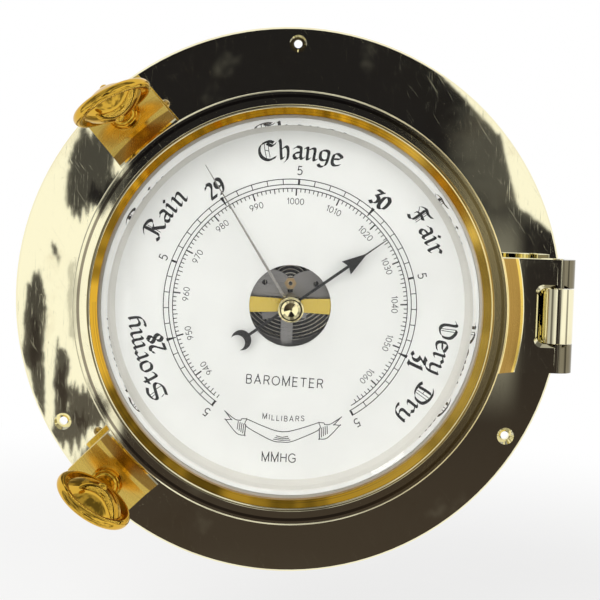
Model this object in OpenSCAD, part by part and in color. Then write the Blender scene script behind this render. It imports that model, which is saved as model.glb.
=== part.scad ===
// Barometer in a polished brass porthole case, in millimetres.
// The dial faces -Y, the back of the flange lies on Y = 0 and the centre of
// the circle of wall screws is the origin. Each module is drawn as the dial
// is read, X to the right, Y up and Z out of the wall, and upright() stands
// it up. A height is a distance out of the wall.

/* [Flange and barrel] */
// Width of the wall flange outside the glazed ring
flange_w = 28.7; // [27.7:0.1:36]
// Thickness of the wall flange
flange_t = 4; // [3:0.5:6]
// Chamfer round the front edge of the flange
flange_chamfer = 0.8; // [0.3:0.1:1.5]
// Distance of the wall screws inside the flange's edge
screw_inset = 6.75; // [6:0.05:8]
// Number of wall screws
screw_count = 3; // [3:1:6]
// Bore for a wall screw
screw_hole_d = 3.4; // [3:0.1:4.5]
// Diameter of the countersink for a wall screw's head
screw_head_d = 7; // [6:0.1:8.5]
// Room between the dial surround's top and the barrel's bore
bore_room = 6; // [5.7:0.1:7]
// Wall of the barrel
barrel_wall = 4; // [3.6:0.1:4.4]
// Height of the barrel's rim out of the wall
barrel_h = 30; // [28:0.5:34]
// Radius of the fillet at the foot of the barrel
barrel_fillet = 2; // [1:0.5:3]
// Width of the groove for the case seal
seal_w = 1.6; // [1.2:0.1:2]
// Depth of the groove for the case seal
seal_depth = 1.2; // [0.8:0.1:1.6]

/* [Back and shelf] */
// Thickness of the sheet that closes the back
cover_t = 1.6; // [1.2:0.1:2]
// Distance that the back cover lies inside the wall face
cover_inset = 0.8; // [0.5:0.1:1.2]
// Thickness of the inner shelf between the cover and the movement plate
shelf_t = 2.6; // [2:0.2:3.2]
// Width of the inner shelf
shelf_w = 5.3; // [4.8:0.1:6]
// Number of back cover screws
cover_screws_n = 4; // [3:1:6]
// Diameter of the vent in the back cover
vent_d = 4; // [2:0.5:6]

/* [Glazed ring] */
// Distance that the glazed ring stands out past the barrel all round
ring_overhang = 1.5; // [1:0.1:2]
// Gap between the barrel's rim and the closed ring
ring_gap = 0.5; // [0.4:0.05:0.8]
// Thickness of the glazed ring
ring_t = 11.5; // [11:0.1:13]
// Height of the ring's front lip
lip_t = 6; // [5.5:0.1:6.5]
// Width of the glass ledge in view between its bevel and the front lip
lip_room = 1; // [0.6:0.1:1.2]
// Depth of the sloping face inside the front lip
slope_depth = 3; // [2:0.1:3.5]
// Radius of the bead between the flat face and the sloping face
bead_r = 0.45; // [0.3:0.05:0.6]
// Radius of the outer edge of the ring
ring_edge = 0.6; // [0.3:0.1:1]

/* [Glass] */
// Thickness of the glass in the middle
glass_t = 5.8; // [5:0.1:6.4]
// Thickness of the glass at its thin edge
glass_edge_t = 1.4; // [1.2:0.1:1.6]
// Distance that the flat front of the glass reaches past the white dial
glass_flat_past = 1.5; // [1:0.1:1.8]
// Width of the glass bevel
glass_bevel_w = 3; // [2.6:0.1:3.3]
// Width of the thin edge of the glass outside the bevel
glass_edge_w = 2.8; // [2.6:0.1:3]
// Thickness of the glass gasket at the front
gasket_t = 1.1; // [0.9:0.1:1.3]
// Thickness of the glass gasket at the back
gasket_back_t = 0.9; // [0.7:0.1:1.1]

/* [Hinge] */
// Distance of the hinge pin past the ring's edge
hinge_offset = 21.2; // [20.4:0.2:22]
// Radius of the hinge knuckles
knuckle_r = 6.7; // [6.2:0.1:7]
// Radius of the hinge pin
pin_r = 2.4; // [2:0.1:2.8]
// Length of the middle knuckle, which belongs to the flange
middle_knuckle_l = 21.4; // [18:0.2:24]
// Length of each knuckle of the ring
end_knuckle_l = 11.2; // [10:0.2:13]
// Chamfer round the notch for the middle knuckle
notch_chamfer = 1.3; // [0.8:0.1:1.6]

/* [Lugs] */
// Drop from the ring's face to the face of the lugs
lug_drop = 7; // [6:0.2:8]
// Thickness of the lugs below that face
lug_t = 7; // [6.4:0.2:7.4]
// Width of the sloping band between the ring and a lug
band_w = 7.3; // [6.5:0.1:7.6]

/* [Clamp screws] */
// Angle of each clamp screw above or below nine o'clock
dog_angle = 46.5; // [40:0.5:52]
// Distance of a clamp screw's axis past the ring's edge, at the lug's face
dog_offset = 15; // [14.6:0.2:15.6]
// Outward lean of a clamp screw
dog_lean = 10; // [6:0.5:11]
// Turn of both clamp screws together about the dial's axis
dog_shift = -0.9; // [-2:0.1:2]
// Width of a clamp lug
dog_lug_w = 27.8; // [22:0.2:30]
// Reach of a clamp lug past the ring's edge
dog_lug_reach = 23.2; // [22.6:0.2:24.4]
// Radius of a clamp screw's plain shank
dog_shank_r = 3; // [2.8:0.1:3.2]
// Radius of a clamp screw at the root of its thread
dog_root_r = 2.38; // [2.2:0.02:2.4]
// Depth of a clamp screw in the flange's post when closed
dog_grip = 2.4; // [1.8:0.1:2.6]
// Radius of the flange's post under a clamp lug
dog_post_r = 6.5; // [5.8:0.1:7]
// Diameter of the thumb disc
thumb_d = 31.5; // [28:0.5:34]
// Thickness of the thumb disc at its rim
thumb_t = 5.4; // [4.4:0.2:6]
// Height of the domes on the thumb disc's faces, from its middle plane
thumb_dome_h = 6.6; // [3.5:0.1:7.4]
// Turn of each thumb disc from square across its lug
thumb_turn = 11.5; // [0:0.5:20]

/* [Dial] */
// Distance from the underside of the glass to the face of the dial
dial_depth = 8.5; // [8.2:0.1:9.2]
// Thickness of the dial plate
dial_t = 1; // [0.8:0.1:1.2]
// Radius of the window in the middle of the dial
dial_window_r = 16.2; // [12:0.2:17]
// Inner radius of the dial surround, which is the radius of the white dial
surround_r = 69.1; // [64:0.1:76]
// Widening of the dial surround from the dial to the glass
surround_flare = 3.2; // [3:0.1:3.4]
// Height of the dial surround
surround_h = 7; // [6.4:0.1:7.2]

/* [Movement] */
// Thickness of the movement plate
plate_t = 1.6; // [1.4:0.1:2]
// Radius of the pressure capsule
capsule_r = 23.5; // [20:0.5:24]
// Distance of the capsule's centre above the pointer's axis
capsule_y = 8.5; // [8:0.1:9]
// Pitch of the rings pressed into the capsule
capsule_pitch = 1.5; // [1.4:0.1:2.4]
// Module of the quadrant and pinion teeth
gear_module = 0.35; // [0.34:0.01:0.37]
// Number of pinion teeth
pinion_teeth = 12; // [11:1:12]
// Teeth that the quadrant would have all round
quadrant_teeth = 240; // [234:2:244]
// Thickness of the brass bridge over the arbor
bridge_t = 1.8; // [1.4:0.1:2.2]
// Width of the bridge at its ends
bridge_w = 7.4; // [6:0.2:8]
// Width of the bridge at the arbor
bridge_waist = 5; // [4.2:0.2:6]

/* [Pointers] */
// Length of the pressure pointer from its axis to its tip
pointer_l = 46.2; // [40:0.2:48]
// Length of the pressure pointer's tail to the middle of its crescent
pointer_tail = 23.4; // [18:0.2:25]
// Angle of the pressure pointer, anticlockwise from three o'clock
pointer_angle = 36.5; // [-60:0.5:235]
// Gap between the set pointer's tip and the dial surround
set_pointer_gap = 4.6; // [3:0.1:16]
// Angle of the set pointer, anticlockwise from three o'clock
set_pointer_angle = 122.8; // [0:0.1:359]
// Diameter of the knob that turns the set pointer
set_knob_d = 9.8; // [8:0.2:12]

/* [Hidden] */
$fn = 96;

// Slack between a bore and what turns in it, on the radius
run_slack = 0.05;
// Slack between two pieces that are screwed together, on the radius
fit_slack = 0.1;
// Room between two pieces that pass each other
clear = 0.3;
// Overshoot of a cut past the face that it opens
cut = 1;

surround_top_r = surround_r + surround_flare;
bore_r = surround_top_r + bore_room;
barrel_r = bore_r + barrel_wall;
ring_r = barrel_r + ring_overhang;
flange_r = ring_r + flange_w;
glass_flat_r = surround_r + glass_flat_past;
glass_bevel_r = glass_flat_r + glass_bevel_w;
glass_r = glass_bevel_r + glass_edge_w;
lip_r = glass_bevel_r + lip_room;
shelf_r = bore_r - shelf_w;
cover_top = cover_inset + cover_t;
shelf_top = cover_top + shelf_t;
plate_top = shelf_top + plate_t;
plate_r = bore_r - clear;
shelf_mid_r = (bore_r + shelf_r) / 2;

ring_bottom = barrel_h + ring_gap;
ring_top = ring_bottom + ring_t;
lip_under = ring_top - lip_t;
pocket_r = glass_r + 1.1;
slope_w = 2.5;

glass_ledge = lip_under - gasket_t;
glass_bottom = glass_ledge - glass_edge_t;
glass_top = glass_bottom + glass_t;
retainer_top = glass_bottom - gasket_back_t;
retainer_bottom = ring_bottom + clear;
retainer_r = surround_top_r + 1.4;

lug_top = ring_top - lug_drop;
lug_bottom = lug_top - lug_t;
band_top = ring_top - 0.3 * ring_edge;
pin_x = ring_r + hinge_offset;
pin_h = lug_top - knuckle_r + 0.15;
hinge_w = middle_knuckle_l + 2 * end_knuckle_l + 2 * clear;

dog_x = ring_r + dog_offset;
dog_sides = [180 - dog_angle + dog_shift, 180 + dog_angle + dog_shift];
washer_t = 1;
washer_gap = 0.1;
thumb_foot = washer_t + 2 * washer_gap;
thumb_foot_t = 2;
thumb_foot_r = 5.6;
thumb_neck_r = 3.8;
thumb_mid = thumb_foot + thumb_foot_t + 1.6 + thumb_d / 2;
dog_post_top = lug_bottom - clear;
dog_tip = (lug_top - dog_post_top) / cos(dog_lean) + dog_grip;

dial_top = glass_bottom - dial_depth;
dial_bottom = dial_top - dial_t;
dial_r = bore_r - 0.6;
surround_flange_t = 1.6;
pillar_r = 2.3;
pillar_at = dial_r - pillar_r - 0.2;
pillar_n = 4;
pillar_turn = 22.5;
small_shank_r = 0.9;
small_head_r = 1.8;
small_head_t = 1;

stud_t = 1.4;
capsule_bottom = plate_top + stud_t;
capsule_h = 5.6;
capsule_mid = capsule_bottom + capsule_h / 2;
capsule_top = capsule_bottom + capsule_h;
cock_bottom = capsule_top + 1.8;
cock_t = 1.2;
cock_top = cock_bottom + cock_t;
spring_bottom = capsule_top + 2.6;
spring_t = 1;
spring_top = spring_bottom + spring_t;
gear_bottom = cock_top + 1.1;
gear_t = 1.2;
gear_top = gear_bottom + gear_t;
bridge_bottom = dial_bottom - 3.4;
bridge_top = bridge_bottom + bridge_t;
arbor_r = 0.6;
bridge_pillar_x = 28;
spring_pillar_x = 29;
post_r = 2.6;

pressure_angle = 20;
pinion_r = gear_module * pinion_teeth / 2;
quadrant_r = gear_module * quadrant_teeth / 2;
quadrant_y = -(pinion_r + quadrant_r);
quadrant_span = 17;
quadrant_post_x = -15;
finger_x = 6;
shaft_h = plate_top + 4.6;
shaft_r = 1;
arm_x = 24;
arm_l = 14;

pointer_bottom = dial_top + 2.5;
pointer_t = 0.6;
pointer_boss_r = 2.2;
arbor_top = pointer_bottom + pointer_t + 0.5;
set_pointer_l = surround_r - set_pointer_gap;
set_bottom = arbor_top + 1.3;
set_t = 0.4;
set_hub_r = 2.4;
set_shaft_r = 1.2;
bush_r = 2.5;
bush_flange_r = 3.8;
bush_flange_t = 0.8;
bush_nut_t = 1.3;
knob_bottom = glass_top + bush_flange_t + clear;
knob_h = 6.6;

brass = [0.83, 0.64, 0.25];
dark_brass = [0.6, 0.45, 0.18];
steel = [0.62, 0.6, 0.58];
rubber = [0.12, 0.12, 0.12];
dial_white = [0.95, 0.95, 0.92];
black = [0.06, 0.06, 0.06];
clear_glass = [0.75, 0.85, 0.88, 0.4];

// Stands a piece up: its Y goes to +Z and its height to -Y.
module upright() {
    rotate([90, 0, 0]) children();
}

// Points of an arc about a centre, from one angle to another.
function arc_points(cx, cy, r, from, to, steps) =
    [for (i = [0:steps]) let (a = from + (to - from) * i / steps) [cx + r * cos(a), cy + r * sin(a)]];

// A ring of rectangular section between two radii and two heights.
module ring(r1, r2, z1, z2) {
    rotate_extrude() translate([r1, z1]) square([r2 - r1, z2 - z1]);
}

// A straight pin along Z.
module rod(r, z1, z2) {
    translate([0, 0, z1]) cylinder(r = r, h = z2 - z1);
}

// Copies evenly spaced round a circle.
module around(n, r, first = 0) {
    for (i = [0:n - 1]) rotate(first + 360 * i / n) translate([r, 0, 0]) children();
}

// A screw with a slotted head that sits on the height z, thread downwards.
module slotted_screw(z, shank_r, length, head_r, head_t) {
    slot_w = head_r / 3;
    difference() {
        union() {
            rod(shank_r, z - length, z);
            rod(head_r, z, z + head_t);
        }
        translate([-head_r - cut, -slot_w / 2, z + head_t / 2]) cube([2 * (head_r + cut), slot_w, head_t]);
    }
}

// The frame of a clamp screw: Z along its leaning axis, X outwards, and
// the origin on the face of the lug.
module dog_frame(side) {
    rotate(side) translate([dog_x, 0, lug_top]) rotate([0, dog_lean, 0]) children();
}

// Section of flange, barrel and inner shelf.
module casting_section() {
    f = barrel_fillet;
    polygon(concat(
        [[bore_r, 0], [flange_r, 0], [flange_r, flange_t - flange_chamfer],
         [flange_r - flange_chamfer, flange_t]],
        arc_points(barrel_r + f, flange_t + f, f, 270, 180, 6),
        [[barrel_r, barrel_h], [bore_r, barrel_h], [bore_r, shelf_top],
         [shelf_r, shelf_top], [shelf_r, cover_top], [bore_r, cover_top]]));
}

// The post on the flange that a clamp screw threads into.
module clamp_post(side) {
    web_w = 5;
    intersection() {
        union() {
            dog_frame(side) rod(dog_post_r, -lug_top - dog_x, 0);
            rotate(side) translate([barrel_r - cut, -web_w / 2, 0]) cube([dog_x - barrel_r, web_w, dog_post_top + cut]);
        }
        rod(flange_r, flange_t - cut, dog_post_top);
    }
}

// The tapped hole in that post, at the thread's full diameter, with its mouth.
module clamp_hole(side) {
    mouth = 0.8;
    lap = 0.3;
    hole_depth = 7;
    mouth_z = -(lug_top - dog_post_top) / cos(dog_lean);
    dog_frame(side) {
        rod(dog_shank_r, -dog_tip - hole_depth, mouth_z + cut);
        translate([0, 0, mouth_z - mouth - lap])
            cylinder(r1 = dog_shank_r - lap, r2 = dog_shank_r + 2 * mouth, h = 2 * mouth + lap);
    }
}

// Countersunk bore for a wall screw.
module wall_screw_hole() {
    sink = (screw_head_d - screw_hole_d) / 2;
    rod(screw_hole_d / 2, -cut, flange_t + cut);
    translate([0, 0, flange_t - sink]) cylinder(d1 = screw_hole_d, d2 = screw_head_d + 2 * cut, h = sink + cut);
}

// The middle knuckle of the hinge, rising from the flange.
module middle_knuckle() {
    rotate([90, 0, 0]) translate([pin_x, pin_h, -middle_knuckle_l / 2])
        cylinder(r = knuckle_r, h = middle_knuckle_l);
    translate([pin_x - knuckle_r, -middle_knuckle_l / 2, flange_t - cut])
        cube([2 * knuckle_r, middle_knuckle_l, pin_h - flange_t + cut]);
}

module base_casting() color(brass) upright() {
    groove_r = (barrel_r + bore_r) / 2;
    difference() {
        union() {
            rotate_extrude() casting_section();
            intersection() {
                middle_knuckle();
                rod(flange_r, 0, ring_top);
            }
            for (side = dog_sides) clamp_post(side);
        }
        ring(groove_r - seal_w / 2, groove_r + seal_w / 2, barrel_h - seal_depth, barrel_h + cut);
        around(screw_count, flange_r - screw_inset, 90) wall_screw_hole();
        for (side = dog_sides) clamp_hole(side);
        translate([pin_x, 0, pin_h]) rotate([90, 0, 0])
            cylinder(r = pin_r + run_slack, h = hinge_w, center = true);
        around(cover_screws_n, shelf_mid_r) rod(small_shank_r + fit_slack, cover_top - cut, shelf_top + cut);
        around(pillar_n, shelf_mid_r, pillar_turn) rod(small_shank_r + fit_slack, cover_top - cut, shelf_top + cut);
    }
}

module case_seal() color(rubber) upright() {
    groove_r = (barrel_r + bore_r) / 2;
    half = seal_w / 2 - fit_slack;
    ring(groove_r - half, groove_r + half, barrel_h - seal_depth, barrel_h + ring_gap - clear);
}

module back_cover() color(dark_brass) upright() {
    difference() {
        rod(plate_r, cover_inset, cover_top);
        around(cover_screws_n, shelf_mid_r) rod(small_shank_r + fit_slack, 0, cover_top + cut);
        translate([0, capsule_y, 0]) rod(vent_d / 2, 0, cover_top + cut);
        translate([0, -plate_r / 2, 0]) rod(vent_d / 4, 0, cover_top + cut);
    }
}

// Cheese-head screws from behind, heads inside the wall face.
module back_cover_screws() color(steel) upright() {
    around(cover_screws_n, shelf_mid_r) translate([0, 0, cover_inset]) mirror([0, 0, 1])
        slotted_screw(0, small_shank_r, cover_t + shelf_t - clear, small_head_r, cover_inset - 0.1);
}

module hinge_pin() color(brass) upright() {
    dome = 0.5;
    translate([pin_x, 0, pin_h]) rotate([90, 0, 0]) {
        cylinder(r = pin_r, h = hinge_w - dome, center = true);
        cylinder(r = pin_r - dome, h = hinge_w + dome, center = true);
    }
}

// Section of the glazed ring: edge, flat face, bead, slope, lip and pocket.
module bezel_section() {
    e = ring_edge;
    b = bead_r;
    slope_r = lip_r + slope_w;
    bead_x = slope_r + b;
    polygon(concat(
        [[pocket_r, ring_bottom], [ring_r - e, ring_bottom], [ring_r, ring_bottom + e]],
        arc_points(ring_r - e, ring_top - e, e, 0, 90, 6),
        [[bead_x + 2 * b, ring_top], [bead_x + b, ring_top - b]],
        arc_points(bead_x, ring_top - b, b, 0, 180, 8),
        [[lip_r, ring_top - slope_depth], [lip_r, lip_under], [pocket_r, lip_under]]));
}

// Room for the barrel and its sweep, below the ring.
module barrel_room() {
    rod(barrel_r + 2 * clear, -cut, ring_bottom);
}

// A lug for a clamp screw: a plate that leans with the screw, and the
// sloping band that joins it to the ring.
module clamp_lug(side) {
    end_x = ring_r + dog_lug_reach;
    band_x = ring_r + band_w;
    root_x = ring_r - barrel_wall;
    difference() {
        rotate(side) rotate([90, 0, 0]) translate([0, 0, -dog_lug_w / 2]) linear_extrude(dog_lug_w)
            polygon([[root_x, lug_bottom], [end_x, lug_bottom],
                     [end_x, lug_top - (end_x - dog_x) * tan(dog_lean)],
                     [band_x, lug_top + (dog_x - band_x) * tan(dog_lean)],
                     [ring_r - ring_edge / 2, band_top], [root_x, band_top]]);
        barrel_room();
        dog_frame(side) rod(dog_shank_r + 0.1, -2 * lug_t, lug_t);
    }
}

// Outline of the notch for the middle knuckle, grown by a margin.
module notch_outline(margin) {
    corner = 3;
    half = middle_knuckle_l / 2 + clear + margin;
    inner_x = pin_x - knuckle_r - 1.6 - margin;
    translate([inner_x + corner, -half]) square([pin_x, 2 * half]);
    translate([inner_x, -half + corner]) square([pin_x, 2 * (half - corner)]);
    for (s = [-1, 1]) translate([inner_x + corner, s * (half - corner)]) circle(r = corner, $fn = 32);
}

// The ring's half of the hinge: plate, sloping band, two knuckles and the
// chamfered notch between them.
module hinge_lug() {
    root_x = ring_r - barrel_wall;
    band_r = ring_r + band_w;
    layer = 0.01;
    difference() {
        union() {
            intersection() {
                translate([0, -hinge_w / 2, 0]) cube([pin_x, hinge_w, ring_top]);
                rotate_extrude() polygon([
                    [root_x, lug_bottom], [pin_x + knuckle_r, lug_bottom], [pin_x + knuckle_r, lug_top],
                    [band_r, lug_top], [ring_r - ring_edge / 2, band_top], [root_x, band_top]]);
            }
            translate([pin_x, 0, pin_h]) rotate([90, 0, 0])
                cylinder(r = knuckle_r, h = hinge_w, center = true);
        }
        barrel_room();
        translate([0, 0, pin_h - 2 * knuckle_r]) linear_extrude(4 * knuckle_r) notch_outline(0);
        hull() {
            translate([0, 0, lug_top - notch_chamfer]) linear_extrude(layer) notch_outline(0);
            translate([0, 0, lug_top + layer]) linear_extrude(layer) notch_outline(notch_chamfer);
        }
        translate([pin_x, 0, pin_h]) rotate([90, 0, 0])
            cylinder(r = pin_r + run_slack, h = hinge_w + cut, center = true);
    }
}

module bezel_ring() color(brass) upright() {
    rotate_extrude() bezel_section();
    for (side = dog_sides) clamp_lug(side);
    hinge_lug();
}

module glass() color(clear_glass) upright() {
    rotate_extrude() polygon([
        [bush_r + fit_slack, glass_bottom], [glass_r, glass_bottom], [glass_r, glass_ledge],
        [glass_bevel_r, glass_ledge], [glass_flat_r, glass_top], [bush_r + fit_slack, glass_top]]);
}

// A channel of rubber round the edge of the glass.
module glass_gasket() color(rubber) upright() {
    outer = pocket_r - fit_slack;
    difference() {
        ring(glass_bevel_r + fit_slack, outer, retainer_top, lip_under);
        ring(0, glass_r, glass_bottom, glass_ledge);
    }
}

// The screwed ring that holds the glass, with four spanner notches.
module glass_retainer() color(brass) upright() {
    notch_w = 3;
    difference() {
        ring(retainer_r, pocket_r - fit_slack, retainer_bottom, retainer_top);
        around(4, retainer_r, 45) translate([-cut, -notch_w / 2, retainer_bottom - cut])
            cube([cut + 1.6, notch_w, cut + 1]);
    }
}

// Section of the thumb disc from its middle to its rim, about its own axis.
module thumb_section() {
    r = thumb_d / 2;
    half = thumb_t / 2;
    rim = half * 0.9;
    dome = r - 2 * rim;
    web = half * 0.62;
    rise = thumb_dome_h - web;
    steps = 8;
    polygon(concat(
        [for (i = [0:steps]) [dome * i / steps, -web - rise * (1 - pow(i / steps, 2))]],
        arc_points(r - rim, 0, rim, -90, 90, 10),
        [for (i = [steps:-1:0]) [dome * i / steps, web + rise * (1 - pow(i / steps, 2))]]));
}

// A thumb screw: threaded end, shank, foot, neck, disc and its two balls.
module clamp_screw(side, turn) {
    ball_r = 1.9;
    neck_top = thumb_mid - thumb_d / 2 + thumb_t / 2;
    foot_top = thumb_foot + thumb_foot_t;
    shank_end = lug_t - clear;
    color(brass) upright() dog_frame(side) rotate(turn) {
        rod(dog_root_r, -dog_tip, -shank_end);
        rod(dog_shank_r, -shank_end, foot_top);
        rod(thumb_foot_r, thumb_foot, foot_top);
        translate([0, 0, foot_top]) cylinder(r1 = thumb_foot_r - 0.6, r2 = thumb_neck_r, h = 1.2);
        rod(thumb_neck_r, foot_top, neck_top);
        translate([0, 0, thumb_mid]) rotate([0, 90, 0]) {
            rotate_extrude() thumb_section();
            for (s = [-1, 1]) translate([0, 0, s * (thumb_dome_h - 0.7)]) sphere(r = ball_r, $fn = 48);
        }
    }
}

module clamp_screw_upper() clamp_screw(dog_sides[0], -thumb_turn);

module clamp_screw_lower() clamp_screw(dog_sides[1], thumb_turn);

module clamp_washer(side) {
    color(brass) upright() dog_frame(side)
        ring(dog_shank_r + run_slack, thumb_foot_r + 0.7, washer_gap, washer_gap + washer_t);
}

module clamp_washer_upper() clamp_washer(dog_sides[0]);

module clamp_washer_lower() clamp_washer(dog_sides[1]);

module dial_plate() color(dial_white) upright() {
    difference() {
        ring(dial_window_r, dial_r, dial_bottom, dial_top);
        around(pillar_n, pillar_at, 45) rod(small_shank_r + fit_slack, dial_bottom - cut, dial_top + cut);
    }
}

// The sloping ring between the dial and the glass, with its screwed foot.
module dial_surround() color(dial_white) upright() {
    wall = 0.7;
    foot_top = dial_top + surround_flange_t;
    difference() {
        rotate_extrude() polygon([
            [surround_r, dial_top], [dial_r, dial_top], [dial_r, foot_top],
            [surround_top_r + wall - 0.3, foot_top], [surround_top_r + wall, dial_top + surround_h],
            [surround_top_r, dial_top + surround_h]]);
        around(pillar_n, pillar_at, 45) rod(small_shank_r + fit_slack, dial_top - cut, foot_top + cut);
    }
}

module dial_pillars() color(brass) upright() {
    thread_l = 6;
    around(pillar_n, pillar_at, 45) difference() {
        rod(pillar_r, plate_top, dial_bottom);
        rod(small_shank_r + fit_slack, dial_bottom - thread_l, dial_bottom + cut);
    }
}

module dial_screws() color(brass) upright() {
    around(pillar_n, pillar_at, 45) slotted_screw(dial_top + surround_flange_t, small_shank_r,
        surround_flange_t + dial_t + 4, small_head_r, small_head_t);
}

// The round plate that carries the whole movement.
module movement_plate() color(steel) upright() {
    window_r = 13;
    difference() {
        rod(plate_r, shelf_top, plate_top);
        around(pillar_n, shelf_mid_r, pillar_turn) rod(small_shank_r + fit_slack, shelf_top - cut, plate_top + cut);
        translate([0, capsule_y, 0]) rod(shaft_r + fit_slack, shelf_top - cut, plate_top + cut);
        translate([0, quadrant_y, 0]) rod(shaft_r + run_slack, shelf_top - cut, plate_top + cut);
        for (s = [-1, 1]) translate([s * (spring_pillar_x + window_r + 2 * post_r), 0, 0])
            rod(window_r, shelf_top - cut, plate_top + cut);
    }
}

module movement_screws() color(steel) upright() {
    around(pillar_n, shelf_mid_r, pillar_turn)
        slotted_screw(plate_top, small_shank_r, plate_t + shelf_t - clear, small_head_r, small_head_t);
}

// Two dished sheets with pressed rings, joined at the rim, on a stud, with
// the post in the middle that pulls on the spring.
module capsule() color(steel) upright() {
    flat_r = 4;
    rim_w = 1.5;
    swell = 1.1;
    steps = 4 * floor((capsule_r - rim_w - flat_r) / capsule_pitch);
    reach = capsule_r - rim_w - flat_r;
    half = capsule_h / 2 - swell / 2;
    top = [for (i = [0:steps]) [flat_r + reach * i / steps,
        half + swell / 2 * cos(360 * (reach * i / steps) / capsule_pitch)]];
    translate([0, capsule_y, capsule_mid]) {
        rotate_extrude() polygon(concat(
            [[0, -capsule_h / 2], [flat_r, -capsule_h / 2], [capsule_r - rim_w, -half]],
            [[capsule_r - rim_w, -0.4], [capsule_r, -0.4], [capsule_r, 0.4], [capsule_r - rim_w, 0.4]],
            [for (i = [len(top) - 1:-1:0]) top[i]], [[0, capsule_h / 2]]));
        rod(flat_r, -capsule_h / 2 - stud_t, -capsule_h / 2);
        rod(post_r - 0.6, capsule_h / 2, spring_bottom - capsule_mid);
        rod(small_shank_r, spring_bottom - capsule_mid, spring_top - capsule_mid + 1.4);
    }
}

module capsule_nut() color(brass) upright() {
    translate([0, capsule_y, spring_top]) difference() {
        cylinder(r = 2.4, h = 1.2, $fn = 6);
        rod(small_shank_r, -cut, 2 + cut);
    }
}

// The leaf spring over the capsule: two round lobes with a slot between
// them, an arm to each pillar, and the tail with the pin that lifts the
// rocking shaft's arm.
module main_spring() color(steel) upright() {
    lobe_r = 10.6;
    lobe_x = 8.2;
    lobe_y = 3.2;
    low_y = 3;
    arm_top = 12.6;
    slot_w = 2.2;
    hole_x = 10.3;
    tail_x = bridge_pillar_x + post_r + clear;
    tail_w = 3;
    tail_y = quadrant_y + arm_l - 1;
    difference() {
        union() {
            translate([0, 0, spring_bottom]) linear_extrude(spring_t) difference() {
                union() {
                    for (s = [-1, 1]) {
                        translate([s * lobe_x, lobe_y]) circle(r = lobe_r);
                        translate([s * spring_pillar_x, capsule_y]) circle(r = post_r + 1.6);
                        translate([s > 0 ? lobe_x : -spring_pillar_x, low_y + 1])
                            square([spring_pillar_x - lobe_x, 2 * (capsule_y - low_y - 1)]);
                    }
                    translate([tail_x, tail_y]) square([tail_w, capsule_y - tail_y]);
                    translate([arm_x - tail_w / 2, tail_y]) square([tail_x - arm_x + tail_w, tail_w]);
                }
                translate([-lobe_x - lobe_r, low_y - 2 * lobe_r]) square([2 * (lobe_x + lobe_r), 2 * lobe_r]);
                translate([-slot_w / 2, low_y + 1.6]) square([slot_w, arm_top]);
                for (s = [-1, 1]) translate([s * hole_x, capsule_y]) circle(r = 1.1);
                for (s = [-1, 1]) translate([s * spring_pillar_x, capsule_y]) circle(r = small_shank_r + fit_slack);
            }
            translate([arm_x, tail_y + tail_w / 2, 0]) rod(0.8, spring_bottom - 2, spring_bottom);
        }
        translate([0, capsule_y, 0]) rod(small_shank_r + fit_slack, spring_bottom - cut, spring_top + cut);
    }
}

module spring_pillars() color(brass) upright() {
    for (s = [-1, 1]) translate([s * spring_pillar_x, capsule_y, 0]) difference() {
        rod(post_r, plate_top, spring_bottom);
        rod(small_shank_r + fit_slack, spring_bottom - 5, spring_bottom + cut);
    }
}

module spring_screws() color(steel) upright() {
    for (s = [-1, 1]) translate([s * spring_pillar_x, capsule_y, 0])
        slotted_screw(spring_top, small_shank_r, spring_t + 4, 2.4, 1.2);
}

// The flat steel bar under the arbor, with its foot and lower bearing.
module arbor_cock() color(steel) upright() {
    bar_w = 4.8;
    bar_x = -0.9;
    foot_y = capsule_y - capsule_r - post_r - 2;
    difference() {
        union() {
            translate([bar_x - bar_w / 2, foot_y - post_r, cock_bottom])
                cube([bar_w, 2 + post_r - foot_y, cock_t]);
            translate([bar_x, foot_y, 0]) rod(post_r - 0.2, plate_top, cock_bottom);
        }
        rod(arbor_r + run_slack, cock_bottom - cut, cock_top + cut);
        translate([bar_x, foot_y, 0]) rod(small_shank_r + fit_slack, cock_bottom - 5, cock_top + cut);
    }
}

module cock_screw() color(steel) upright() {
    foot_y = capsule_y - capsule_r - post_r - 2;
    translate([-0.9, foot_y, 0]) slotted_screw(cock_top, small_shank_r, cock_t + 4, small_head_r, 0.7);
}

// The brass bar across the window, wider at its ends, with the upper bearing.
module arbor_bridge() color(brass) upright() {
    end_x = bridge_pillar_x + post_r + 0.4;
    half_end = bridge_w / 2;
    half_waist = bridge_waist / 2;
    translate([0, 0, bridge_bottom]) linear_extrude(bridge_t) difference() {
        polygon([[-end_x, -half_end], [0, -half_waist], [end_x, -half_end],
                 [end_x, half_end], [0, half_waist], [-end_x, half_end]]);
        circle(r = arbor_r + run_slack);
        for (s = [-1, 1]) translate([s * bridge_pillar_x, 0]) circle(r = small_shank_r + fit_slack);
    }
}

module bridge_pillars() color(brass) upright() {
    for (s = [-1, 1]) translate([s * bridge_pillar_x, 0, 0]) difference() {
        rod(post_r, plate_top, bridge_bottom);
        rod(small_shank_r + fit_slack, bridge_bottom - 5, bridge_bottom + cut);
    }
}

module bridge_screws() color(steel) upright() {
    for (s = [-1, 1]) translate([s * bridge_pillar_x, 0, 0])
        slotted_screw(bridge_top, small_shank_r, bridge_t + 4, 2.2, 1);
}

// Involute of a pressure angle, in degrees.
function involute(a) = tan(a) * 180 / PI - a;

// Half the angle that a tooth fills at a radius, less its share of slack.
function tooth_half(teeth, r) = let (pitch = gear_module * teeth / 2, base = pitch * cos(pressure_angle))
    90 / teeth + involute(pressure_angle) - involute(acos(min(1, base / r))) - 180 / PI * 0.02 / pitch;

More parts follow.
